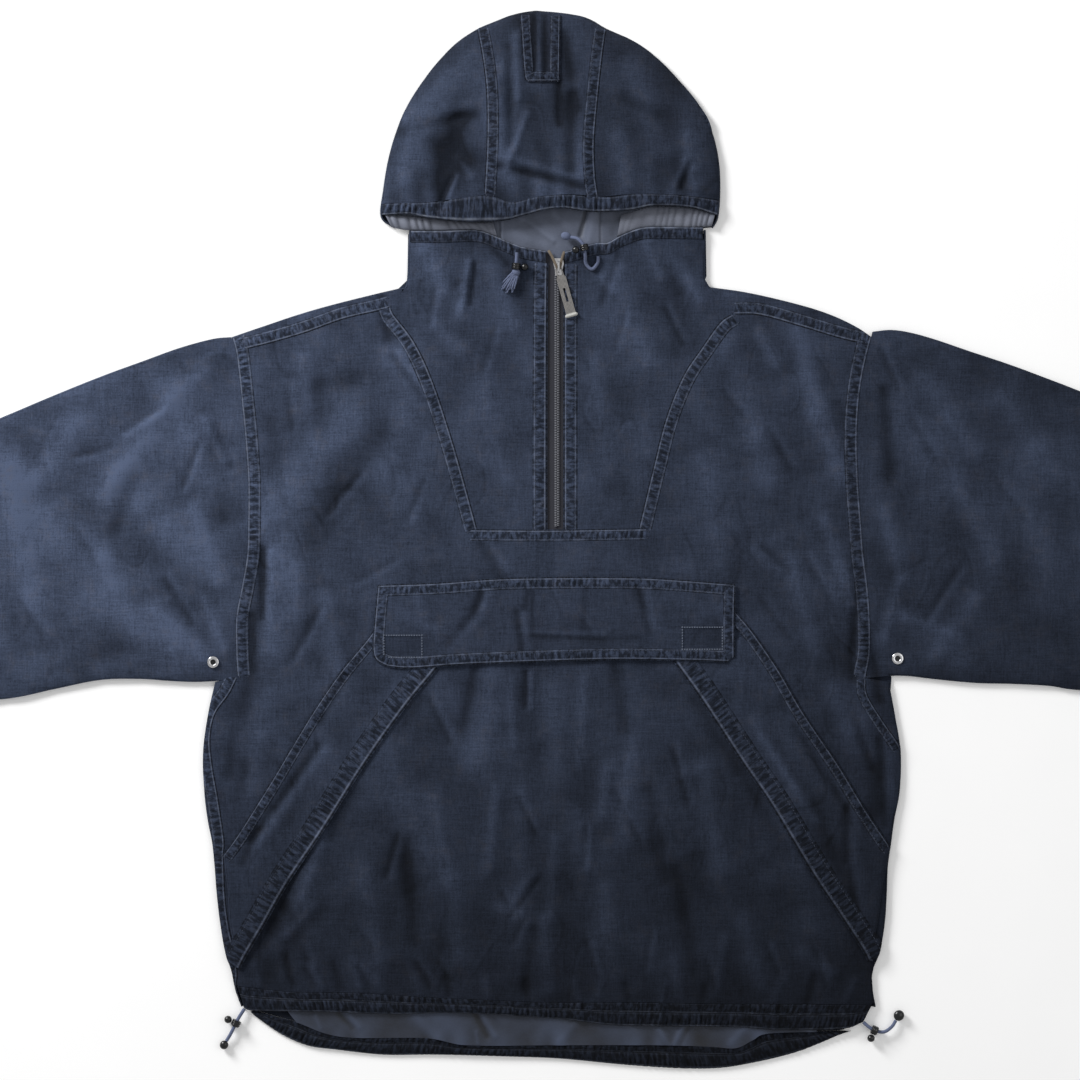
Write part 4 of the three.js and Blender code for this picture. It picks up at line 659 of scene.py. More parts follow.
def casing(inner, outer, base, tall, pitch, depth, seed, side, turn=1.6):
    """Gathered casing between two lines: half a round across, crossed by gathers, sharp in their
    valleys, of uneven pitch and height. Past its outer line it turns under."""
    a, b = smooth(inner), smooth(outer)
    count = int(max(along(a)[-1], along(b)[-1]) / 1.15)
    a, b = resample(a, count), resample(b, count)
    v = np.array([0, 0.06, 0.14, 0.24, 0.36, 0.5, 0.64, 0.76, 0.86, 0.94, 1, 1.03, 1.0])[None, :]
    u = along(a)[:, None]
    lean = 0.9 * np.sin(u / 23 + seed) * v
    phase = np.pi * u / pitch + 1.4 * np.sin(u / 17 + seed) + 1.1 * np.sin(u / 6.1 + 2.3 * seed) + lean
    gather = np.abs(np.sin(phase)) ** 0.7 - 0.6
    strength = 0.6 + 0.4 * np.sin(u / 29 + 2 * seed)
    swell = np.sin(np.pi * np.clip(v, 0, 1)) ** 0.55
    gather = gather * strength * (0.35 + 0.65 * swell)
    reach = v * (1 + 0.07 * gather * np.clip(v * 2 - 1, 0, 1))
    x = a[:, :1] + (b - a)[:, :1] * reach
    y = a[:, 1:] + (b - a)[:, 1:] * reach
    z = base(x, y) + tall * swell + depth * gather
    z[:, -2] -= turn * 0.6
    z[:, -1] -= turn
    # The gathers are stored as relief, which the finish paints as shade in their valleys and light on their
    # crests
    place = np.broadcast_to(u * MM, x.shape), np.broadcast_to(v, x.shape), 3.2 * gather
    return part(np.stack([x, y, z], -1), grid_faces(*x.shape, flip=side < 0), *place)


def lathe(profile, at, axis=(0, 0, 1), count=40):
    """A profile of radius and height turned round an axis through a point."""
    up = np.asarray(axis, float) / np.linalg.norm(axis)
    flat = np.cross(up, (0.0, 1.0, 0.0) if abs(up[1]) < 0.9 else (1.0, 0.0, 0.0))
    flat /= np.linalg.norm(flat)
    other = np.cross(up, flat)
    angle = np.linspace(0, 2 * np.pi, count + 1)[:, None, None]
    radius, rise = np.asarray(profile, float).T
    ring = np.cos(angle) * flat + np.sin(angle) * other
    points = np.asarray(at, float) + ring * radius[None, :, None] + up * rise[None, :, None]
    return part(points, grid_faces(count + 1, len(radius), flip=False))


def ball(at, half, spin=0.0, count=28):
    """An ellipsoid of three half sizes, turned about Z."""
    a = np.linspace(0, 2 * np.pi, count + 1)[:, None]
    b = np.linspace(-np.pi / 2, np.pi / 2, count // 2 + 1)[None, :]
    x, y, z = half[0] * np.cos(a) * np.cos(b), half[1] * np.sin(a) * np.cos(b), half[2] * np.sin(b) + 0 * a
    turned = np.stack([x * np.cos(spin) - y * np.sin(spin), x * np.sin(spin) + y * np.cos(spin), z], -1)
    return part(turned + np.asarray(at, float), grid_faces(*x.shape))


def add(name, parts, finish, nodes=(), body_name="garment"):
    """One named piece from its parts; it stands for the CAD nodes named."""
    first = np.cumsum([0] + [len(p[0]) for p in parts[:-1]])
    points = np.vstack([p[0] for p in parts]) * MM
    faces = np.vstack([p[1] + k for p, k in zip(parts, first)])
    place = np.vstack([p[2] for p in parts])
    mesh = bpy.data.meshes.new(name)
    mesh.vertices.add(len(points))
    mesh.vertices.foreach_set("co", points.ravel())
    mesh.loops.add(faces.size)
    mesh.loops.foreach_set("vertex_index", faces.ravel())
    mesh.polygons.add(len(faces))
    mesh.polygons.foreach_set("loop_start", np.arange(0, faces.size, 4))
    mesh.polygons.foreach_set("use_smooth", np.ones(len(faces), bool))
    mesh.update(calc_edges=True)
    mesh.attributes.new("seam", "FLOAT_VECTOR", "POINT").data.foreach_set("vector", place.ravel())
    mesh.materials.append(finish)
    piece = bpy.data.objects.new(name, mesh)
    bpy.context.scene.collection.objects.link(piece)
    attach(piece, body_name)
    if nodes:
        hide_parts(*nodes)
    return piece


# Finishes

class Value:
    """A shader value that Python's operators work on."""

    def __init__(self, graph, socket):
        self.graph, self.socket = graph, socket

    def __add__(self, other):
        return self.graph.math("ADD", self, other)

    def __radd__(self, other):
        return self.graph.math("ADD", other, self)

    def __sub__(self, other):
        return self.graph.math("SUBTRACT", self, other)

    def __rsub__(self, other):
        return self.graph.math("SUBTRACT", other, self)

    def __mul__(self, other):
        return self.graph.math("MULTIPLY", self, other)

    def __rmul__(self, other):
        return self.graph.math("MULTIPLY", other, self)

    def __truediv__(self, other):
        return self.graph.math("DIVIDE", self, other)

    def __pow__(self, other):
        return self.graph.math("POWER", self, other)


class Graph:
    """A material whose nodes are made from expressions."""

    def __init__(self, name):
        self.material = bpy.data.materials.new(name)
        self.material.use_nodes = True
        self.tree = self.material.node_tree
        self.shader = self.tree.nodes["Principled BSDF"]

    def put(self, socket, value):
        """Links a shader value to a socket, or sets a plain one."""
        if isinstance(value, Value):
            self.tree.links.new(value.socket, socket)
        else:
            socket.default_value = value

    def node(self, kind, settings, inputs, output=0):
        """A node: its type, its settings first, then its socket values or links."""
        node = self.tree.nodes.new(kind)
        for key, value in settings.items():
            setattr(node, key, value)
        for key, value in inputs.items():
            self.put(node.inputs[key], value)
        return Value(self, node.outputs[output])

    def math(self, operation, *values):
        """A math node over its values."""
        return self.node("ShaderNodeMath", {"operation": operation}, dict(enumerate(values)))

    def place(self):
        """The place on the piece, in metres."""
        return self.node("ShaderNodeTexCoord", {}, {}, "Object")

    def seam(self):
        """The stored attribute: along the seam, across it, and the cloth's relief."""
        return self.split(self.node("ShaderNodeAttribute", {"attribute_name": "seam"}, {}, "Vector"))

    def split(self, vector):
        """The three numbers of a vector."""
        node = self.tree.nodes.new("ShaderNodeSeparateXYZ")
        self.put(node.inputs[0], vector)
        return [Value(self, socket) for socket in node.outputs]

    def join(self, x, y, z=0.0):
        """A vector of three numbers."""
        return self.node("ShaderNodeCombineXYZ", {}, {0: x, 1: y, 2: z})

    def stretch(self, vector, factors):
        """A vector times three factors."""
        return self.node("ShaderNodeVectorMath", {"operation": "MULTIPLY"}, {0: vector, 1: factors})

    def noise(self, vector, scale, detail=3.0, rough=0.55):
        """Soft noise around 0.5."""
        inputs = {"Vector": vector, "Scale": scale, "Detail": detail, "Roughness": rough}
        return self.node("ShaderNodeTexNoise", {}, inputs)

    def ramp(self, value, low, high):
        """0 below low, 1 above high, smooth between."""
        settings = {"interpolation_type": "SMOOTHSTEP"}
        return self.node("ShaderNodeMapRange", settings, {0: value, 1: low, 2: high, 3: 0.0, 4: 1.0})

    def bell(self, value, middle, width):
        """1 in the middle, falling away over the width on both sides."""
        off = (value - middle) / width
        return self.math("EXPONENT", off * off * -1.0)

    def mix(self, factor, a, b):
        """Colour a at factor 0, colour b at 1."""
        return self.node("ShaderNodeMix", {"data_type": "RGBA"}, {0: factor, 6: a, 7: b}, 2)

    def bump(self, height, strength, depth):
        """Small unevenness of the surface, its depth in metres."""
        return self.node("ShaderNodeBump", {}, {"Strength": strength, "Distance": depth, "Height": height})

    def set(self, **inputs):
        """Sets or links inputs of the main shader, and returns the material."""
        for key, value in inputs.items():
            self.put(self.shader.inputs[key.replace("_", " ")], value)
        return self.material


def colour(red, green, blue):
    """An sRGB colour of 0 to 255 as a linear one."""
    def linear(c):
        c /= 255
        return c / 12.92 if c <= 0.04045 else ((c + 0.055) / 1.055) ** 2.4

    return (linear(red), linear(green), linear(blue), 1.0)


def fade_and_painted_light(graph, x, y):
    """How washed out the cloth is, with painted light: most at the upper left, least at the lower right and
    low down; partly real fading, partly painted light falling from the upper left.
    """
    sideways = graph.math("EXPONENT", x * -0.85)
    down = (y - 0.13) / 0.53
    return sideways * graph.math("EXPONENT", down * down * -1.0)


def painted_wrinkle_shading(g, place):
    """Painted light and shade of fine wrinkles: a pale line with a dark one beside each, in some places only.
    """
    wrinkle = g.noise(g.stretch(place, (30.0, 17.0, 30.0)), 1.0, 0.0)
    where = g.ramp(g.noise(place, 9.0, 0.0), 0.46, 0.66)
    return where * (g.bell(wrinkle, 0.56, 0.03) * 0.6 - g.bell(wrinkle, 0.5, 0.028))


def seam_wear_and_shade(g, u, v, seam, rim):
    """Wear of a felled seam, with painted shade: its brightness, the dark ditches beside it, which are
    painted shade, its worn edges and its roping.
    """
    roping = g.noise(g.join(u * 270.0, v * 1.3), 1.0, 2.0, 0.6)
    broken = g.noise(g.join(u * 90.0, v * 0.4, 3.0), 1.0, 2.0, 0.6)
    crest = g.bell(v, 0.09, 0.05)
    far = g.bell(v, 0.93, 0.05) * (0.5 + rim * 1.3)
    worn = (crest * (1.0 - rim * 0.7) + far) * (0.4 + g.ramp(broken, 0.35, 0.65))
    middle = 0.46 + g.ramp(roping, 0.41, 0.6) * 0.95
    # Painted shade in the ditches along both sides of the seam
    ditch_shade = 1.0 - 0.8 * seam * g.bell(v, -0.02, 0.05) - 0.5 * seam * g.bell(v, 1.02, 0.04)
    return middle + worn * 1.5 * seam, ditch_shade, worn, roping


def canvas(name, tone=1.0, seam=0.0, rim=0.0):
    """Washed cotton canvas: mottled dye, speckled threads, a fine weave and, on a seam, roped wear; over
    these painted light and shade: lighter towards the upper left, darker in troughs and paler on ridges, pale
    and dark wrinkle lines and, on a seam, dark ditches.
    """
    g = Graph(name)
    place = g.place()
    x, y = g.split(place)[:2]
    # Fading of the wash together with painted light from the upper left
    fade_and_light = fade_and_painted_light(g, x, y)
    cloud = g.noise(g.stretch(place, (26.0, 15.0, 20.0)), 1.0, 4.0, 0.6)
    mottle = g.noise(place, 75.0, 4.0, 0.65)
    speck = g.noise(place, 620.0, 2.0, 0.7)
    warp = g.noise(g.stretch(place, (900.0, 70.0, 70.0)), 1.0, 2.0)
    weft = g.noise(g.stretch(place, (60.0, 1000.0, 60.0)), 1.0, 2.0)
    threads = speck - 0.5 + (warp + weft - 1.0) * 0.7
    amount = fade_and_light * (0.9 + (cloud - 0.5) * 0.6 + (mottle - 0.5) * 0.6 + threads)
    height = speck * 0.5 + warp * 0.4 + weft * 0.4
    amount = amount * tone
    u, v, relief = g.seam()
    relief = g.math("MINIMUM", g.math("MAXIMUM", relief, -2.0), 2.6)
    # Painted pale and dark lines of fine wrinkles
    lines = painted_wrinkle_shading(g, place)
    # Painted light and shade: the relief darkens troughs, creases and gather valleys and lightens ridges and
    # crests, where the cloth is also worn paler
    amount = amount * (0.9 + relief * (0.42 if seam else 0.28) + lines * (0.0 if seam else 0.15))
    if seam:
        bright, ditch_shade, worn, roping = seam_wear_and_shade(g, u, v, seam, rim)
        amount = amount * bright * ditch_shade
        height = height + roping * 0.8
    base = g.mix(amount * 0.5, (0.0, 0.0, 0.0, 1.0), colour(75, 86, 110))
    warm = g.mix(amount * 0.5, (0.0, 0.0, 0.0, 1.0), colour(88, 84, 86))
    base = g.mix(g.ramp(mottle, 0.5, 0.8) * 0.3, base, warm)
    if seam:
        base = g.mix(worn * fade_and_light * 0.34, base, colour(112, 117, 129))
    g.set(Roughness=0.92, Sheen_Weight=0.04, Sheen_Roughness=0.5, Specular_IOR_Level=0.1)
    return g.set(Base_Color=base, Normal=g.bump(height, 0.45, 0.0006))


def lining(name, dark, pale):
    """Thin smooth blue-grey cloth with a faint sheen; its relief is painted into the colour as shade in
    troughs and light on crests.
    """
    g = Graph(name)
    place = g.place()
    tone = g.noise(place, 40.0, 3.0)
    fine = g.noise(g.stretch(place, (500.0, 900.0, 500.0)), 1.0, 2.0)
    relief = g.math("MAXIMUM", g.seam()[2], -2.6)
    # Painted shade and light of the lining's folds: darker in troughs, paler on crests
    base = g.mix(tone * 0.6 + fine * 0.3 + relief * 0.24, dark, pale)
    return g.set(Base_Color=base, Roughness=0.62, Sheen_Weight=0.08, Normal=g.bump(fine, 0.2, 0.0004))


def plain(name, shade, roughness, metal=0.0, grain=300.0, spread_by=0.25, bump=0.15):
    """A single material with fine grain."""
    g = Graph(name)
    tone = g.noise(g.place(), grain, 3.0)
    dark = tuple(c * (1 - spread_by) for c in shade[:3]) + (1.0,)
    light = tuple(min(1.0, c * (1 + spread_by)) for c in shade[:3]) + (1.0,)
    g.set(Metallic=metal, Roughness=roughness + (tone - 0.5) * 0.2)
    return g.set(Base_Color=g.mix(tone, dark, light), Normal=g.bump(tone, bump, 0.0003))


def strap(name, hinge, slant, bar_from):
    """Grey webbing of the pull, paler on the bar that ends it, by its place along the slanted pull."""
    g = Graph(name)
    x, y = g.split(g.place())[:2]
    down = (x - hinge[0]) * math.sin(slant) - (y - hinge[1]) * math.cos(slant)
    aside = (x - hinge[0]) * math.cos(slant) + (y - hinge[1]) * math.sin(slant)
    ribs = g.math("SINE", down * 5200.0) * 0.5 + g.math("SINE", aside * 4300.0) * 0.5
    worn = g.noise(g.place(), 260.0, 3.0)
    cloth = g.mix(worn * 0.8 + ribs * 0.18, colour(88, 87, 88), colour(142, 139, 135))
    base = g.mix(g.ramp(down, bar_from - 0.0006, bar_from + 0.0006), cloth, colour(176, 176, 172))
    return g.set(Base_Color=base, Roughness=0.8, Normal=g.bump(ribs, 0.4, 0.0004))


CANVAS = canvas("washed_canvas")
# Darker copy of the canvas for the hood's side panels: painted shade of their folds
HOOD_SIDE_SHADED = canvas("canvas_hood_side_painted_shade", 0.86)
STRIP_PALE = canvas("canvas_strip_left", 1.2)
STRIP_MID = canvas("canvas_strip_right", 1.1)
SEAM = canvas("canvas_seam", 1.0, 1.0)
HEMMED = canvas("canvas_hemmed", 1.06, 0.85, -0.38)
HEM = canvas("canvas_gathered", 0.8, 0.55, 1.0)
INSIDE = lining("lining_cloth", colour(46, 52, 66), colour(100, 108, 128))
FACING = lining("facing_cloth", colour(58, 62, 74), colour(122, 127, 142))
INSIDE_LOW = lining("lining_cloth_shaded", colour(14, 18, 28), colour(54, 64, 85))
TAPE = plain("zip_tape_cloth", colour(38, 39, 48), 0.85)
TAN = plain("zip_tape_edge", colour(104, 94, 82), 0.85)
NICKEL = plain("nickel", colour(226, 226, 228), 0.24, 1.0)
PLASTIC = plain("black_plastic", colour(14, 15, 18), 0.28, 0.0, 90.0)
STRAP = strap("pull_strap", PULL_HINGE, PULL_SLANT, PULL_BAR_FROM)
COIL = plain("coil", colour(112, 114, 122), 0.5)
CORD = plain("drawcord", colour(88, 97, 123), 0.9, 0.0, 1400.0, 0.55, 0.8)
THREAD = plain("thread", colour(62, 69, 85), 0.8)
WORN_THREAD = plain("worn_thread", colour(92, 100, 116), 0.8)


# Panels

def beside(line, shift_x, shift_y):
    """A line moved in plan."""
    return [(x + shift_x, y + shift_y) for x, y in line]


POCKET_TOP = [(-171, -72), (180, -72)]
FRONT = outline(
    SHOULDER_LEFT[::-1], ARMHOLE_LEFT[1:], SIDE_LEFT[:8], OUTER_SEAM_LEFT[::-1],
    POCKET_TOP, OUTER_SEAM_RIGHT,
    [(335.5, -308), (339.5, -280), (345, -250), (346, -212), (345.5, -208)],
    SIDE_RIGHT[::-1], ARMHOLE_RIGHT[1:][::-1], SHOULDER_RIGHT[::-1], YOKE_RIGHT[::-1],
    [(84, 11), (-78, 10)], YOKE_LEFT[::-1],
)
PANEL = outline(
    OUTER_SEAM_LEFT[::-1], POCKET_TOP, OUTER_SEAM_RIGHT,
    [(335.5, -308), (333, -327), (332, -353), (330, -383), (325, -412), (317.5, -432), (318, -450),
     (319, -464.8)],
    HEM_TOP[::-1],
    [(-318, -446), (-318, -432), (-321, -412), (-327, -383), (-330.4, -353), (-332, -316)],
)
STRIP_LEFT = outline(
    [(-177, -100), (-108, -108)], STRIP_EDGE_LEFT,
    [(-316, -428), (-325, -385), (-327.5, -350), (-331.4, -316.4)],
    beside(OUTER_SEAM_LEFT[1:], 0.6, -0.4)[::-1], [(-182.4, -94.4), (-177, -100)],
)
STRIP_RIGHT = outline(
    [(178, -100), (110, -106)], STRIP_EDGE_RIGHT,
    [(314, -421), (322, -385), (327, -350), (335, -308.4)],
    beside(OUTER_SEAM_RIGHT[1:], -0.6, -0.4)[::-1], [(196.4, -92.4), (178, -100)],
)
FLAP = np.asarray(FLAP_EDGE, float)
YOKE_PANEL_LEFT = outline(
    NECK_LEFT, [(-146, 298), (-114, 297)], beside(LIP_LEFT[1:], 0, -CASING_DEPTH),
    [(-9.4, 277), (-9, 277)], ZIP_LEFT_EDGE[::-1], [(-9, 10), (-78, 10)], YOKE_LEFT[::-1],
)
YOKE_PANEL_RIGHT = outline(
    NECK_RIGHT, [(151, 301), (148, 300.6)], beside(LIP_RIGHT, 0, -CASING_DEPTH)[::-1],
    ZIP_RIGHT_EDGE[::-1], [(9.5, 10), (84, 11)], YOKE_RIGHT,
)


def edged(ring, height, step=3.0, relief=body_relief):
    """Cloth over an outline with its turned edge."""
    return [spread(ring, height, step, relief), edge(ring, height, CUT_EDGE)]


def rounded(height, ring, drop=0.7, reach=2.6):
    """The same height, drawn down along an outline as a turned hem is."""
    closed = np.vstack([ring, ring[:1]])
    return lambda x, y: height(x, y) - drop * np.clip(1 - distance(x, y, closed) / reach, 0, 1) ** 2


def lifted_strip(edge_line):
    """A pocket strip: on the front, and standing further off it towards the low end of its free edge."""
    def height(x, y):
        free = np.exp(-((distance(x, y, edge_line) / 16) ** 2))
        return body(x, y) + STRIP_RISE + 1.3 * free * np.clip((-150 - y) / 200, 0, 1)

    return height


ON_STRIP_LEFT = lifted_strip(STRIP_EDGE_LEFT)
ON_STRIP_RIGHT = lifted_strip(STRIP_EDGE_RIGHT)


def in_patch(x, y):
    """1 inside the two patches, 0 outside, with a soft border 1.5 mm wide."""
    total = np.zeros(np.shape(x))
    for corners in PATCHES:
        (x0, y0), (x1, y1) = corners[3], corners[1]
        depth = np.minimum(np.minimum(x - x0, x1 - x), np.minimum(y - y0, y1 - y))
        total += np.clip(depth / 1.5, 0, 1)
    return total


def flap_relief(x, y):
    """The flap's relief, painted into its colour as shade in troughs and as light and wear on ridges: less of
    the front's relief, more of its own creases.
    """
    return 0.6 * body_relief(x, y) + 2.4 * folds(x, y, FLAP_FOLDS) - 0.5 * in_patch(x, y)


def on_flap(x, y):
    """The flap: above the strips, with creases of its own and the hook-and-loop patches sewn down."""
    return body(x, y) + FLAP_RISE + 1.2 * folds(x, y, FLAP_FOLDS) - 0.5 * in_patch(x, y)


def add_front():
    """Front and the panel behind the pocket."""
    add("front_cloth", edged(FRONT, body), CANVAS, ["front"])
    add("pocket_panel_cloth", edged(PANEL, body), CANVAS, ["front_pocket_panel"])


def add_pocket():
    """The two slanted strips and the flap, with their hems drawn down."""
    left = edged(STRIP_LEFT, rounded(ON_STRIP_LEFT, STRIP_LEFT))
    add("pocket_strip_left_cloth", left, STRIP_PALE, ["pocket_strip_left"])
    right = edged(STRIP_RIGHT, rounded(ON_STRIP_RIGHT, STRIP_RIGHT))
    add("pocket_strip_right_cloth", right, STRIP_MID, ["pocket_strip_right"])
    flap = edged(FLAP, rounded(on_flap, FLAP), 1.5, flap_relief)
    add("pocket_flap_cloth", flap, CANVAS, ["pocket_flap"])


def add_yoke():
    """The yoke's two halves, one on each side of the zip."""
    for side, ring in (("left", YOKE_PANEL_LEFT), ("right", YOKE_PANEL_RIGHT)):
        add(f"yoke_{side}_cloth", edged(ring, body, 2.5), CANVAS, [f"yoke_{side}"])


add_front()
add_pocket()
add_yoke()


# Back: underside, folds at the edges and the strips that come round to the front

def body_edge(side, high, low):
    """The body's outline on one side between two heights, downwards."""
    return [(row[side], row[0]) for row in BODY_SECTIONS if high >= row[0] >= low]


# Stretches of the body's outline: neck, neck corner, shoulder, armhole, its corner, side
NECK_SPAN, CORNER_SPAN, SHOULDER_SPAN = (310, 253), (253, 247), (247, 203)
ARMHOLE_SPAN, UNDER_ARM_SPAN, SIDE_SPAN = (203, -135), (-135, -142), (-142, -467)


def body_ring():
    """Outline of the laid body, its corners at neck, armhole and side kept."""
    spans = (NECK_SPAN, CORNER_SPAN, SHOULDER_SPAN, ARMHOLE_SPAN, UNDER_ARM_SPAN, SIDE_SPAN)
    lines = [np.vstack([smooth(body_edge(side, *span)) for span in spans]) for side in (1, 2)]
    return np.vstack([lines[0], lines[1][::-1]])


BODY_RING = body_ring()
BACK_LEFT = outline(
    SHOULDER_LEFT, NECK_LEFT[:3], [(-150, 253), (-176, 247)],
    [(-176, 247), (-220, 236), (-255, 226), (-291, 214), (-323, 203)], [(-323, 203), (-319, 188.7)],
)
BACK_RIGHT = outline(
    SHOULDER_RIGHT, [(313.5, 195.5), (316.5, 203)],
    [(316.5, 203), (300, 214), (274, 226), (242, 236), (195, 247), (155, 253)], NECK_RIGHT[:3][::-1],
)
WRAP_LEFT = outline(
    SIDE_LEFT, [(-319, -446), (-314, -467)],
    [(row[1], row[0]) for row in BODY_SECTIONS if row[0] < -140][::-1], [(-340, -142), (-317.5, -137)],
)
WRAP_RIGHT = outline(SIDE_RIGHT, [(345.5, -208), (340, -174), (334, -142)], [(334, -142), (310.5, -138)])
TAIL = outline(
    [(-305, -466), (-301, -469)], BACK_CASING_INNER, [(288, -490.8), (312, -471), (318, -466)],
    [(318, -466), (-305, -466)],
)


def flat_at(level):
    """A height function of one level."""
    return lambda x, y: np.full(np.shape(x), level)


def underside(ring, level=UNDERSIDE_LEVEL, step=14.0):
    """Flat cloth on the table, facing down."""
    points, faces, places = spread(ring, flat_at(level), step)
    return points, faces[:, ::-1], places


UNDER_ARM = [(306, -128), (306, -150), (336, -150), (337, -136), (330, -128)]


def add_back():
    """Back: underside, tail, fillings under the arms, turned folds, and what comes round to the front."""
    parts = [underside(BODY_RING), spread(TAIL, flat_at(TAIL_LEVEL), 6.0)]
    for sign in (-1, 1):
        parts.append(spread(np.array(UNDER_ARM, float) * (sign, 1), flat_at(UNDER_ARM_LEVEL), 3.0))
    for side, turn in ((1, 1), (2, -1)):
        for span in (NECK_SPAN, CORNER_SPAN, SHOULDER_SPAN, SIDE_SPAN):
            parts.append(edge(smooth(body_edge(side, *span)), body, FOLD_EDGE, False, turn))
    for ring in (BACK_LEFT, BACK_RIGHT, WRAP_LEFT, WRAP_RIGHT):
        parts.append(spread(ring, body, 2.5))
    add("back_cloth", parts, CANVAS, ["back"])


add_back()


# Sleeves and cuffs

SLEEVES = (("left", SLEEVE_LEFT, ARMHOLE_LEFT, 1), ("right", SLEEVE_RIGHT, ARMHOLE_RIGHT, -1))


def sleeve_edges(sections):
    """The upper and the lower fold of a sleeve, from the shoulder to the cuff."""
    return [(row[0], row[1]) for row in sections[1:]], [(row[2], row[3]) for row in sections[1:]]


def sleeve_ring(sections, armhole):
    """Outline of a sleeve from the armhole to the cuff."""
    upper, lower = sleeve_edges(sections)
    ends = [upper[-1], lower[-1]], [lower[0], armhole[-1]], (armhole[0], upper[0])
    return outline(upper, ends[0], lower[::-1], ends[1], armhole[::-1], ends[2])


def cuff_ring(sections):
    """Outline of the plain cuff beyond a sleeve's last section, its lower edge less steep."""
    before, last = np.array(sections[-2]), np.array(sections[-1])
    away = (last - before)[:2] / np.linalg.norm((last - before)[:2])

    def at(far):
        low = (last[2] + away[0] * far, last[3] + away[1] * far * 0.4 + far * 0.12)
        return (last[0] + away[0] * far, last[1] + away[1] * far), low

    (a, b), (c, d) = at(SEAT_GAP), at(CUFF_LENGTH)
    return outline([a, c], [c, d], [d, b], [b, a])


def add_sleeve(side, sections, armhole, turn):
    """A sleeve: upper layer, underside and the two turned folds."""
    ring = sleeve_ring(sections, armhole)
    upper, lower = [smooth(line) for line in sleeve_edges(sections)]
    folded = [edge(upper, body, FOLD_EDGE, False, turn), edge(lower, body, FOLD_EDGE, False, -turn)]
    parts = [spread(ring, body, 3.2), underside(ring)] + folded
    add(f"sleeve_{side}_cloth", parts, CANVAS, [f"sleeve_{side}"])


def add_cuff(side, sections):
    """A plain hemmed cuff, a little above the sleeve."""
    ring = cuff_ring(sections)
    high = raised(body, SEAT_GAP)
    parts = [spread(ring, high, 3.0), underside(ring), edge(ring, high, FOLD_EDGE)]
    add(f"cuff_{side}_cloth", parts, CANVAS, [f"cuff_{side}"])


for side, sections, armhole, turn in SLEEVES:
    add_sleeve(side, sections, armhole, turn)
    add_cuff(side, sections)


# Hood

def hood_between(left, right):
    """Upper outline of the hood between two X positions, from left to right."""
    rows = [row for row in HOOD_SECTIONS if row[0] > 345]
    top = [(row[1], row[0]) for row in rows][::-1] + [(row[2], row[0]) for row in rows]
    return [point for point in top if left < point[0] < right]


SEAM_A = [(-70.4, 344), (-70, 351), (-67.6, 398), (-68, 446), (-72, 481), (-77.6, 511)]
SEAM_B = [(43, 342), (40, 363), (39, 398), (43, 446), (47.4, 486), (51, 511)]
HOOD_LEFT = outline(
    [(-174, 336), (-173, 340), (-172, 351)], [(-172, 351)] + hood_between(-171, -78) + [(-77.6, 511)],
    SEAM_A[::-1], [(-70.4, 344), (-126, 337), (-174, 336)],
)
HOOD_CENTRE = outline(
    SEAM_A, [(-77.6, 511)] + hood_between(-77, 51) + [(51, 511)], SEAM_B[::-1],
    [(43, 342), (16, 344.5), (-20, 342), (-43, 337), (-70.4, 344)],
)
HOOD_RIGHT = outline(
    SEAM_B, [(51, 511)] + hood_between(52, 164) + [(165.5, 351)], [(165.5, 351), (164.5, 340)],
    [(164.5, 340), (122, 344), (82, 345), (43, 342)],
)
TAB = np.array([(-34.5, 525.6), (-30.4, 467), (-28, 457), (4, 457.6), (5, 525.4)], float)
HOOD_OUTLINE = outline([(r[1], r[0]) for r in HOOD_SECTIONS], [(r[2], r[0]) for r in HOOD_SECTIONS][::-1])
NECK_BASE = np.array([(-147, 312.6), (-148, 250), (152, 250), (151, 313)], float)


def hood_panel(ring):
    """One panel of the hood."""
    return spread(ring, hood, 2.0, hood_relief)


def add_hood():
    """Three panels, the first with the fold round the whole outline, the underside and the tab."""
    fold = edge(smooth(HOOD_RING), hood, FOLD_EDGE, False, -1)
    add("hood_left_cloth", [hood_panel(HOOD_LEFT), fold], HOOD_SIDE_SHADED, ["hood_side_left"])
    add("hood_centre_cloth", [hood_panel(HOOD_CENTRE)], CANVAS, ["hood_centre"])
    add("hood_under_cloth", [underside(HOOD_OUTLINE), underside(NECK_BASE)], CANVAS)
    add("hood_right_cloth", [hood_panel(HOOD_RIGHT)], HOOD_SIDE_SHADED, ["hood_side_right"])
    tab = edged(TAB, raised(hood, TAB_RISE), 1.5, hood_relief)
    add("hood_tab_cloth", tab, CANVAS, ["hood_tab"])


def brim_base(x, y):
    """The hood's height 6 mm further up, a little lower."""
    return hood(x, y + 6) - 0.4


def add_brim():
    """The gathered casing along the hood's brim."""
    brim = casing(BRIM_LINE, BRIM_EDGE, brim_base, 1.7, 6.4, 2.0, 0.7, -1, 5.0)
    add("hood_brim_cloth", [brim], HEM, ["hood_brim"])


def lip_base(x, y):
    """The yoke's height, kept level past the start of its roll."""
    return body(x, np.minimum(y, 304.0))


def under_lip(line):
    """The seam below a lip of the neck casing."""
    return beside(line, 0, -CASING_DEPTH)


def add_neck_casing(side, lip, seed):
    """One half of the gathered casing at the front of the opening."""
    gathered = casing(under_lip(lip), lip, lip_base, 2.0, 6.0, 1.3, seed, 1, 3.0)
    add(f"neck_casing_{side}_cloth", [gathered], HEM, [f"neck_casing_{side}"])


add_hood()
add_brim()
add_neck_casing("left", LIP_LEFT, 1.9)
add_neck_casing("right", LIP_RIGHT, 4.1)


# Linings and facings

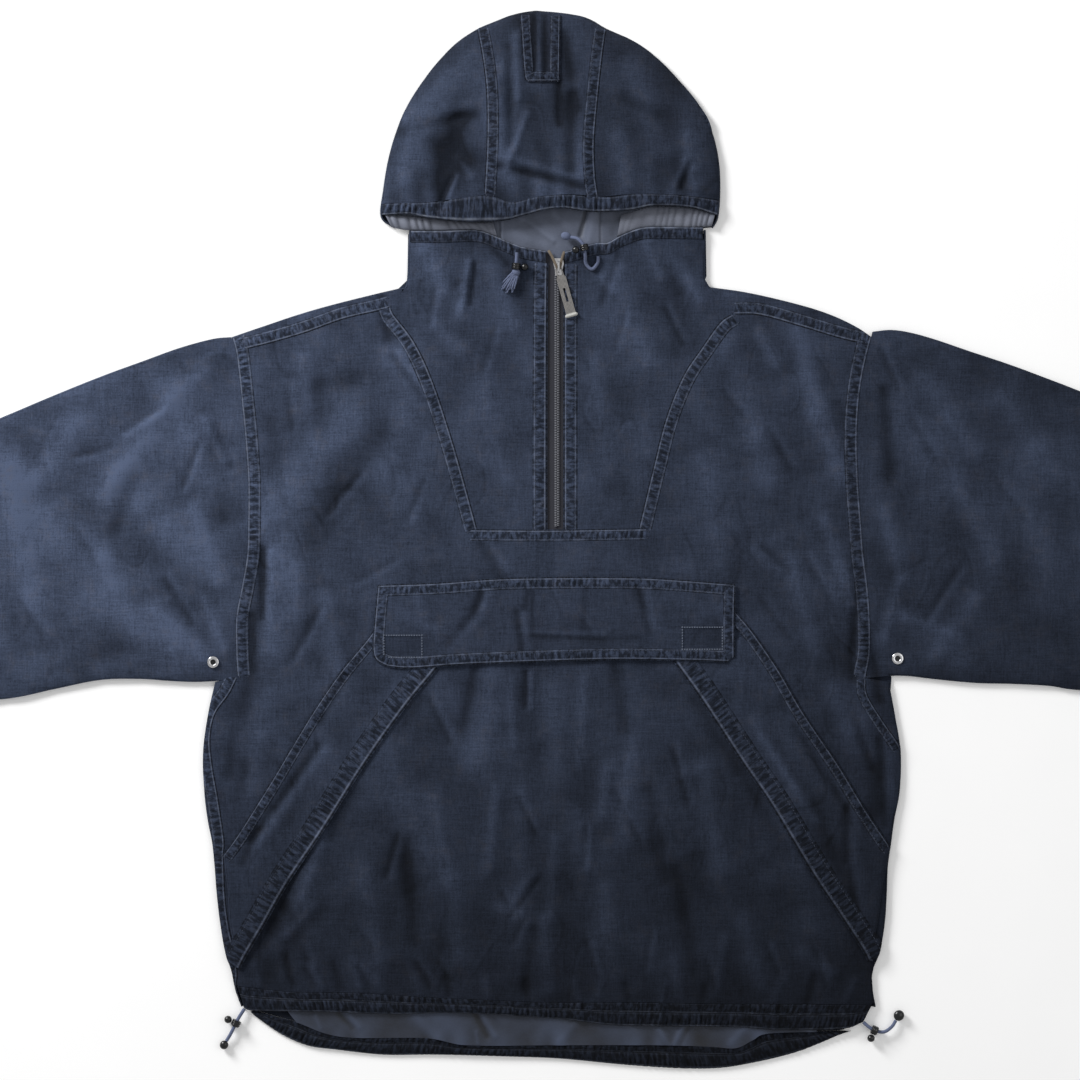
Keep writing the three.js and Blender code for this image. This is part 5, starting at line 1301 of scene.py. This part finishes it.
LINING_FOLDS = [
    (-54, 330, -52, 296, 1.2, 1.0), (-56.4, 330, -54.4, 296, 1.0, -1.4), (31, 330, 25, 305, 2.0, -3.4),
    (38, 330, 32, 300, 5.0, 1.6), (45, 330, 45.6, 292, 1.0, -1.6), (-34, 322, -2, 300, 3.0, 1.1),
    (-30, 318, 0, 296, 2.4, -0.9), (-2, 330, 2, 322, 3.0, 1.0), (62, 330, 58, 306, 4.0, -0.8),
    (-40, 306, -10, 294, 5.0, 0.6), (8, 318, 18, 304, 4.0, 0.6),
]


def lining_relief(x, y):
    """Soft waves of the hood's lining, with its folds, seams and one open slit."""
    waves = np.sin(x / 15 + 0.6 * np.sin(y / 9)) + 0.6 * np.sin(x / 6.3 + y / 11)
    return 0.3 * waves + folds(x, y, LINING_FOLDS)


HEM_LINING_FOLDS = [
    (-74, -474, -60, -496, 3.2, 1.0), (-80, -474, -68, -497, 3.0, -0.9), (-211, -472, -196, -487, 3.4, 0.8),
    (-217, -473, -203, -488, 3.0, -0.8), (-240, -476, -235, -488, 2.4, 0.7), (-79, -492, -77, -504, 1.6, 0.8),
    (104, -490, 114, -505, 2.4, 0.8), (127, -488, 119, -505, 2.6, 0.9), (133, -488, 126, -505, 2.2, -0.7),
    (20, -484, 6, -502, 4.0, 0.5), (-140, -478, -120, -498, 5.0, 0.5), (190, -488, 176, -504, 4.0, 0.6),
]
HEM_LINING = np.vstack([[(-275, -462)], smooth(BACK_CASING_INNER[2:-1])[:, :2] - (0, 0.6), [(255, -466)]])


def hem_lining_relief(x, y):
    """Loose folds that run slantwise down to the gathered casing."""
    slant = x / 13 + y / 21 + 1.6 * np.sin(x / 61)
    gathers = 0.9 * np.sin(x / 5.1 + 1.8 * np.sin(x / 17)) * np.clip((-488 - y) / 12, 0, 1)
    return 1.3 * np.sin(slant) * np.sin(x / 47 + 1) + gathers + 1.8 * folds(x, y, HEM_LINING_FOLDS)


def lining_height(x, y):
    """Inside of the hood: level, with half its relief."""
    return LINING_LEVEL + 0.5 * np.clip(lining_relief(x, y), -1.8, 1.6)


def hem_lining_height(x, y):
    """Inside of the hem: level, with half its relief."""
    return LINING_LEVEL + 0.5 * hem_lining_relief(x, y)


def add_hood_lining():
    """The lining that shows in the hood's opening."""
    lining_part = spread(np.array(HOOD_LINING_EDGE), lining_height, 1.0, lining_relief)
    add("hood_lining_cloth", [lining_part], INSIDE, ["hood_lining"])


# Facings: upper line and lower line of each
FACING_LEFT = (
    [(-170, 325.4), (-128, 322.6), (-91, 318.6), (-62, 318)],
    [(-164, 313.4), (-150, 310.6), (-120, 309.4), (-80, 310.2), (-58, 303.6)],
)
FACING_RIGHT = (
    [(66, 325), (84, 330), (98, 333.4), (134, 332.4), (160, 325.6)],
    [(62, 303), (82, 311), (98, 313), (134, 312.8), (157, 314.4)],
)


def add_facing(side, lines, seed):
    """A gathered facing at one corner of the opening."""
    gathered = casing(*lines, flat_at(FACING_LEVEL), 2.0, 8.0, 1.7, seed, -1, 2.0)
    add(f"hood_facing_{side}_cloth", [gathered], FACING, [f"hood_facing_{side}"])


add_hood_lining()
add_facing("left", FACING_LEFT, 0.3)
add_facing("right", FACING_RIGHT, 2.2)


# Hem

def front_hem_base(x, y):
    """The front's height above the hem, kept on past its end."""
    return np.maximum(3.2, body(x, np.maximum(y, -460.0)) - 0.7)


def between(inner, outer, share):
    """The line that lies a share of the way from one line to another."""
    a, b = resample(smooth(inner), 90), resample(smooth(outer), 90)
    return a + (b - a) * share


HEM_ROW = between(HEM_TOP, HEM_EDGE_FRONT, 0.42)
BACK_ROW = between(BACK_CASING_INNER, BACK_CASING_OUTER, 0.36)


def add_hem():
    """Front and back casings, each gathered in two rows, and the lining between them."""
    add("hem_front_cloth", [
        casing(HEM_TOP, HEM_ROW, front_hem_base, 0.8, 7.0, 0.8, 0.9, -1, 0.4),
        casing(HEM_ROW, HEM_EDGE_FRONT, front_hem_base, 1.5, 5.6, 1.5, 2.4, -1, 3.0),
    ], HEM, ["hem_casing_front"])
    add("hem_back_cloth", [
        casing(BACK_CASING_INNER, BACK_ROW, flat_at(1.7), 0.8, 6.6, 0.8, 4.2, -1, 0.4),
        casing(BACK_ROW, BACK_CASING_OUTER, flat_at(1.6), 2.2, 5.6, 1.7, 3.1, -1, 2.0),
    ], HEM, ["hem_casing_back"])
    inside_hem = spread(HEM_LINING, hem_lining_height, 1.6, hem_lining_relief)
    add("hem_lining_cloth", [inside_hem], INSIDE_LOW, ["hem_lining"])


add_hem()


# Seams: line, width, which side of the line, the cloth below, seed

def seam_bands(name, rows, ring=None, finish=SEAM):
    """Felled seams and their thread as two pieces."""
    bands = [band(line, width, side, height, seed, ring=ring) for line, width, side, height, seed in rows]
    add(f"{name}_felled", bands, finish)
    thread = []
    for line, width, side, height, seed in rows:
        for share in STITCH_ROWS:
            thread.append(stitches(line, side * width * share, raised(height, 0.35), ring=ring))
    add(f"{name}_thread", thread, THREAD)


YOKE_BOTTOM = [(-86, 10), (0, 9.6), (92, 11)]
FLAP_SIDES = [
    [(-176.6, -45.5), (-119, -43.5), (-42, -38.6), (73, -38), (124, -40.4), (179.5, -44.7)],
    [(-176.6, -45.5), (-180, -84), (-181.5, -107), (-178.4, -119.5), (-167, -126)],
    [(-167, -126), (-144, -127.7), (-93, -124), (-16, -121), (60, -119), (136, -120), (173, -121.3)],
    [(179.5, -44.7), (178.7, -80), (178.7, -117)],
]
TAB_SIDES = [
    [(-34.4, 525), (-30.4, 467), (-28, 457)],
    [(4.9, 524.6), (4.4, 490), (4, 457.6)],
    [(-27.6, 457.4), (-12, 457.4), (3.6, 457.8)],
]


def sew_body():
    """Armholes, shoulders, sides, yoke and the edges beside the zip."""
    seam_bands("body", [
        (ARMHOLE_LEFT, 12.5, 1, body, 0.4), (ARMHOLE_RIGHT, 12.5, -1, body, 1.7),
        (SHOULDER_LEFT, 11.5, 1, body, 2.6), (SHOULDER_RIGHT, 11.5, 1, body, 3.3),
        (SIDE_LEFT, 11.0, -1, body, 0.8), (SIDE_RIGHT, 9.0, -1, body, 1.2),
        (YOKE_LEFT, 12.0, -1, body, 2.1), (YOKE_RIGHT, 12.0, -1, body, 4.0),
        (YOKE_BOTTOM, 10.5, -1, body, 5.2),
    ], BODY_RING)
    over = raised(body, 0.2)
    seam_bands("zip_edge", [(ZIP_LEFT_EDGE, 12.5, 1, over, 0.9), (ZIP_RIGHT_EDGE, 12.0, -1, over, 2.9)])


def sew_pocket():
    """Outer seams and hemmed edges of the strips."""
    over = raised(body, STRIP_RISE)
    seam_bands("pocket", [
        (OUTER_SEAM_LEFT, 9.5, 1, over, 0.2), (OUTER_SEAM_RIGHT, 9.5, -1, over, 1.4),
    ], BODY_RING)
    seam_bands("strip_edge", [
        (STRIP_EDGE_LEFT, 18.0, -1, ON_STRIP_LEFT, 2.4), (STRIP_EDGE_RIGHT, 18.0, 1, ON_STRIP_RIGHT, 3.8),
    ], BODY_RING, HEMMED)


def sew_flap():
    """The flap's four edges, and the thread round the two patches."""
    seam_bands("flap", [
        (FLAP_SIDES[0], 10.5, -1, on_flap, 0.6), (FLAP_SIDES[1], 10.5, 1, on_flap, 1.1),
        (FLAP_SIDES[2], 10.5, 1, on_flap, 2.8), (FLAP_SIDES[3], 10.5, -1, on_flap, 3.6),
    ])
    add("flap_patch_thread", [
        stitches(list(side), 0.0, raised(on_flap, 0.45), PATCH_PITCH, wide=0.5)
        for corners in PATCHES for side in zip(corners, corners[1:] + corners[:1])
    ], WORN_THREAD)


def sew_hood():
    """The hood's two seams and the tab's three edges."""
    over = raised(hood, TAB_RISE)
    seam_bands("hood", [
        (SEAM_A, 11.0, -1, hood, 0.5), (SEAM_B, 11.0, 1, hood, 1.9),
        (TAB_SIDES[0], 9.0, 1, over, 2.3), (TAB_SIDES[1], 9.0, -1, over, 3.0),
        (TAB_SIDES[2], 9.0, 1, raised(hood, TAB_RISE + 0.1), 4.4),
    ])


sew_body()
sew_pocket()
sew_flap()
sew_hood()


# Zip

# One turn of the coil in plan, where the coil runs, and the tapes' outlines
COIL_TURN = np.array([(-1.3, -0.45), (1.3, -0.45), (1.3, 0.45), (-1.3, 0.45)])
COIL_X = 2.0
COIL_FROM, COIL_TO = 14.0, 264.0
TAPES = {
    "left": [(-14, 4), (1.85, 4), (1.85, 272), (-7, 287), (-14, 287)],
    "right": [(2.15, 4), (17, 4), (17, 287), (10, 287), (2.15, 272)],
}


def coil_half(sign):
    """One half of the coil: for each turn a block that narrows upwards, half a pitch from its neighbour's."""
    along_y = np.arange(COIL_FROM, COIL_TO, COIL_PITCH)
    at = np.column_stack([np.full(len(along_y), COIL_X + sign * 1.15), along_y + (sign > 0) * COIL_PITCH / 2])
    base = body(at[:, 0], at[:, 1])[:, None, None] - 0.5 + np.zeros((1, len(COIL_TURN), 1))
    low = np.concatenate([at[:, None] + COIL_TURN[None], base - 0.6], -1)
    high = np.concatenate([at[:, None] + COIL_TURN[None] * 0.7, base + 0.5], -1)
    first = np.arange(len(at))[:, None] * 8
    sides = [[0, 1, 5, 4], [1, 2, 6, 5], [2, 3, 7, 6], [3, 0, 4, 7], [4, 5, 6, 7]]
    return part(np.concatenate([low, high], 1), np.concatenate([first + [s] for s in sides]))


def add_zip():
    """Coil, two sunk tapes and their folded upper ends."""
    add("zip_coil", [coil_half(-1), coil_half(1)], COIL)
    for side, ring in TAPES.items():
        tape = spread(np.array(ring, float), raised(body, -1.5), 2.0)
        add(f"zip_tape_{side}_cloth", [tape], TAPE, [f"zip_tape_{side}"])
    over = raised(body, 0.6)
    add("zip_tape_edges", [
        band([(-7.6, 289), (-4, 283), (1.4, 271)], 2.2, 1, over, 0.3, 0.4, 0.1),
        band([(10.4, 288), (8.2, 282), (5.8, 271)], 2.2, -1, over, 1.3, 0.4, 0.1),
    ], TAN)


add_zip()


# Hardware

def add_eyelet(name, x, y):
    """An eyelet: a rim rolled round a circle, and a black disc in its hole as painted shade."""
    z = float(body(np.array([x]), np.array([y]))[0]) + 0.6
    angle = np.linspace(0, 2 * np.pi, 15)
    wide, tall = EYELET_ROLL
    profile = np.column_stack([EYELET_RADIUS + wide * np.cos(angle), 0.55 + tall * np.sin(angle)])
    add(f"{name}_ring", [lathe(profile, (x, y, z))], NICKEL, [name])
    # Black disc in the hole: painted shade where the shaded cloth inside would show
    add(f"{name}_hole_shade", [lathe([(3.2, 0), (0.01, 0)], (x, y, z + 0.25))], PLASTIC)


for name, (x, y) in EYELETS.items():
    add_eyelet(name, x, y)


def cord(name, node, route):
    """A drawcord along its route as one open curve."""
    path = smooth(route, 1.2)
    data = bpy.data.curves.new(name, "CURVE")
    data.dimensions = "3D"
    data.bevel_depth = CORD_WIDTH / 2 * MM
    data.bevel_resolution = 5
    data.use_fill_caps = True
    line = data.splines.new("POLY")
    line.points.add(len(path) - 1)
    line.points.foreach_set("co", np.column_stack([path * MM, np.ones(len(path))]).ravel())
    data.materials.append(CORD)
    piece = bpy.data.objects.new(name, data)
    bpy.context.scene.collection.objects.link(piece)
    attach(piece, "garment")
    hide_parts(node)
    float(along(path)[-1]) * MM


def on_path(path, run, far):
    """The point a given length along a path."""
    return np.array([np.interp(far, run, path[:, k]) for k in range(3)])


def lock(name, route, share, side):
    """A cord lock: a ribbed barrel on the cord and the round button beside it."""
    path = smooth(route, 0.5)
    run = along(path)
    at = on_path(path, run, share * run[-1])
    ahead = on_path(path, run, min(share * run[-1] + 1, run[-1])) - at
    ahead /= np.linalg.norm(ahead)
    rise = np.linspace(-BARREL_HALF, BARREL_HALF, 33)
    radius = BARREL_RADIUS - 0.35 * (np.sin(rise * 3.2) > 0.3) - 0.9 * (np.abs(rise) > 2.9)
    profile = [(BORE_RADIUS, -BARREL_HALF)] + list(zip(radius, rise)) + [(BORE_RADIUS, BARREL_HALF)]
    barrel = add(f"{name}_barrel", [lathe(profile, at, ahead)], PLASTIC, [name])
    away = np.array([ahead[1], -ahead[0], 0.0])
    away = away / np.linalg.norm(away) * side
    seat = at + away * (BARREL_RADIUS + SEAT_GAP + BUTTON_RADIUS)
    button = ball(seat, (BUTTON_RADIUS, BUTTON_RADIUS, BUTTON_RADIUS))
    knob = add(f"{name}_knob", [button], PLASTIC, [f"{name}_button"])
    return [barrel, knob]


def cord_end(name, route, length, width, tall, finish):
    """The knot or knob that sits on a cord's end."""
    path = smooth(route, 1.0)
    along_end = (path[-1] - path[-2])[:2]
    along_end /= np.linalg.norm(along_end)
    seat = path[-1][:2] + along_end * (length / 2 + SEAT_GAP)
    z = max(path[-1][2], SEAT_GAP + tall / 2)
    spin = math.atan2(along_end[1], along_end[0])
    round_end = ball((seat[0], seat[1], z), (length / 2, width / 2, tall / 2), spin)
    return add(f"{name}_end", [round_end], finish, [name])


def frayed_end(name, at, toward, length, width, strands):
    """A frayed cord end: a bound neck and strands that fan out from it, each a tapering spindle."""
    ahead = np.array(toward, float) / np.linalg.norm(toward)
    aside = np.array([-ahead[1], ahead[0], 0.0])
    parts = [ball(at, (3.6, 4.2, 3.0), math.atan2(ahead[1], ahead[0]))]
    for k in range(strands):
        share = 2 * (k + 0.5) / strands - 1
        reach = length * (0.82 + 0.12 * math.sin(5.1 * k) - 0.2 * share**2)
        axis = ahead * length + aside * share * width / 2 + np.array([0, 0, 1.4 * math.cos(2.4 * k)])
        t = np.linspace(0, 1, 9)
        radius = 1.25 * np.sqrt(np.clip(t * 6, 0.02, 1)) * (1 - 0.62 * t**2) + 0.16 * np.sin(t * 17 + k)
        start = np.array(at) + aside * share * 2.4
        parts.append(lathe(list(zip(radius, t * reach)) + [(0.02, reach + 0.6)], start, axis, 9))
    return add(f"{name}_end", parts, CORD, [name])


def add_hood_cords():
    """The two ends at the hood's opening: one frayed, one looped back up to its knot."""
    knot = frayed_end("hood_knot_left", (-38.8, 267.5, 10.6), (-11.5, -20.5, -1.4), 25.0, 15.0, 17)
    pieces = lock("hood_lock_left", HOOD_CORD_LEFT, 0.42, -1) + [knot]
    cord("hood_drawcord_left", "hood_cord_left", HOOD_CORD_LEFT)
    knot = cord_end("hood_knot_right", HOOD_CORD_RIGHT, 10, 8, 6, CORD)
    pieces = lock("hood_lock_right", HOOD_CORD_RIGHT, 0.68, -1) + [knot]
    cord("hood_drawcord_right", "hood_cord_right", HOOD_CORD_RIGHT)


def add_hem_cords():
    """The two ends at the hem, each with a lock and a round knob."""
    knob = cord_end("hem_knob_left", HEM_CORD_LEFT, 9, 8.6, 6.8, PLASTIC)
    pieces = lock("hem_lock_left", HEM_CORD_LEFT, 0.45, 1) + [knob]
    cord("hem_drawcord_left", "hem_cord_left", HEM_CORD_LEFT)
    knob = cord_end("hem_knob_right", HEM_CORD_RIGHT, 11, 10.6, 7, PLASTIC)
    pieces = lock("hem_lock_right", HEM_CORD_RIGHT, 0.34, 1) + [knob]
    cord("hem_drawcord_right", "hem_cord_right", HEM_CORD_RIGHT)


add_hood_cords()
add_hem_cords()


# The cut of each cloth

def plan_area(ring):
    """Area inside a closed outline."""
    x, y = ring.T
    return abs(np.sum(x * np.roll(y, -1) - y * np.roll(x, -1))) / 2


def cut(ring, round_by=1.0, ease=1.03, round_long=1.0):
    """A laid cloth's cut: its outline's width and length across and along its longest direction, all
    round where it is a tube, with a little more for what its folds take up. A tube goes round either
    across its longest direction (`round_by`) or along it (`round_long`)."""
    off = ring - ring.mean(0)
    width, length = sorted(np.ptp(off @ np.linalg.eigh(off.T @ off)[1], axis=0) * MM * ease)
    area = plan_area(ring) * MM**2 * ease**2
    width, length, area = width * round_by, length * round_long, area * round_by * round_long
    float(min(area, width * length))


def cut_casing(name, inner, outer, rests_on, fullness=1.25):
    """A gathered casing's cut: its length, longer than it lies by its fullness."""
    a, b = resample(smooth(inner), 200), resample(smooth(outer), 200)
    long = float(along((a + b) / 2)[-1]) * fullness


def cut_body():
    """Body, pocket, yoke, sleeves and cuffs."""
    cut(BODY_RING, ease=1.06)
    cut(FRONT)
    cut(PANEL)
    cut(STRIP_LEFT)
    cut(STRIP_RIGHT)
    cut(FLAP)
    cut(YOKE_PANEL_LEFT)
    cut(YOKE_PANEL_RIGHT)
    for side, sections, armhole, _ in SLEEVES:
        cut(sleeve_ring(sections, armhole), round_by=2.0)
        cut(cuff_ring(sections), round_long=2.0)


def cut_hood_and_linings():
    """Panels of the hood, its tab, and the linings of hood and hem."""
    cut(HOOD_LEFT, ease=1.12)
    cut(HOOD_CENTRE, ease=1.08)
    cut(HOOD_RIGHT, ease=1.08)
    cut(HOOD_OUTLINE, ease=1.1)
    cut(TAB)
    cut(np.array(HOOD_LINING_EDGE, float))
    cut(HEM_LINING, ease=1.08)


def cut_casings():
    """Every gathered casing and facing."""
    under_hood = ["hood_lining_cloth"]
    cut_casing("hood_brim_cloth", BRIM_LINE, BRIM_EDGE, under_hood)
    cut_casing("neck_casing_left_cloth", under_lip(LIP_LEFT), LIP_LEFT, under_hood)
    cut_casing("neck_casing_right_cloth", under_lip(LIP_RIGHT), LIP_RIGHT, under_hood)
    cut_casing("hood_facing_left_cloth", *FACING_LEFT, under_hood)
    cut_casing("hood_facing_right_cloth", *FACING_RIGHT, under_hood)
    cut_casing("hem_front_cloth", HEM_TOP, HEM_EDGE_FRONT, ["back_cloth"])
    cut_casing("hem_back_cloth", BACK_CASING_INNER, BACK_CASING_OUTER, [])


cut_body()
cut_hood_and_linings()
cut_casings()


def finish_solid(node, finish):
    """A solid that is shown as it is, in its finish."""
    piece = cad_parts[node]
    piece.data.materials.clear()
    piece.data.materials.append(finish)


finish_solid("zip_slider", NICKEL)
finish_solid("zip_pull", STRAP)


# Table and light

def add_table():
    """A pale sheet of table, not part of the object."""
    bpy.ops.mesh.primitive_plane_add(size=TABLE_SIZE, location=(0, 0, -0.0005))
    table = bpy.context.object
    table.name = "table"
    g = Graph("pale_table")
    tone = g.noise(g.place(), 12.0)
    base = g.mix(tone, (0.93, 0.93, 0.93, 1.0), (0.96, 0.96, 0.96, 1.0))
    glow = {"Emission_Color": (1, 1, 1, 1), "Emission_Strength": 0.1}
    table.data.materials.append(g.set(Base_Color=base, Roughness=0.9, **glow))


def add_light(name, at, watts, size, target=(0, 0, 0)):
    """A square soft box that faces the garment."""
    data = bpy.data.lights.new(name, "AREA")
    data.energy, data.size = watts, size
    light = bpy.data.objects.new(name, data)
    light.location = at
    away = np.array(at, float) - np.array(target, float)
    turn = math.atan2(away[1], away[0])
    tilt = math.acos(away[2] / np.linalg.norm(away))
    light.rotation_euler = (tilt, 0, turn + math.pi / 2)
    bpy.context.scene.collection.objects.link(light)


def add_world(strength):
    """Even white light from all round."""
    world = bpy.data.worlds.new("studio")
    world.use_nodes = True
    background = world.node_tree.nodes["Background"]
    background.inputs[0].default_value = (1, 1, 1, 1)
    background.inputs[1].default_value = strength
    bpy.context.scene.world = world


add_table()
add_light("softbox_key", (-2.4, 2.2, 1.5), 150, 1.1)
add_light("softbox_fill", (2.0, 0.2, 2.6), 16, 2.4)
add_world(0.42)
bpy.context.scene.view_settings.view_transform = "Standard"
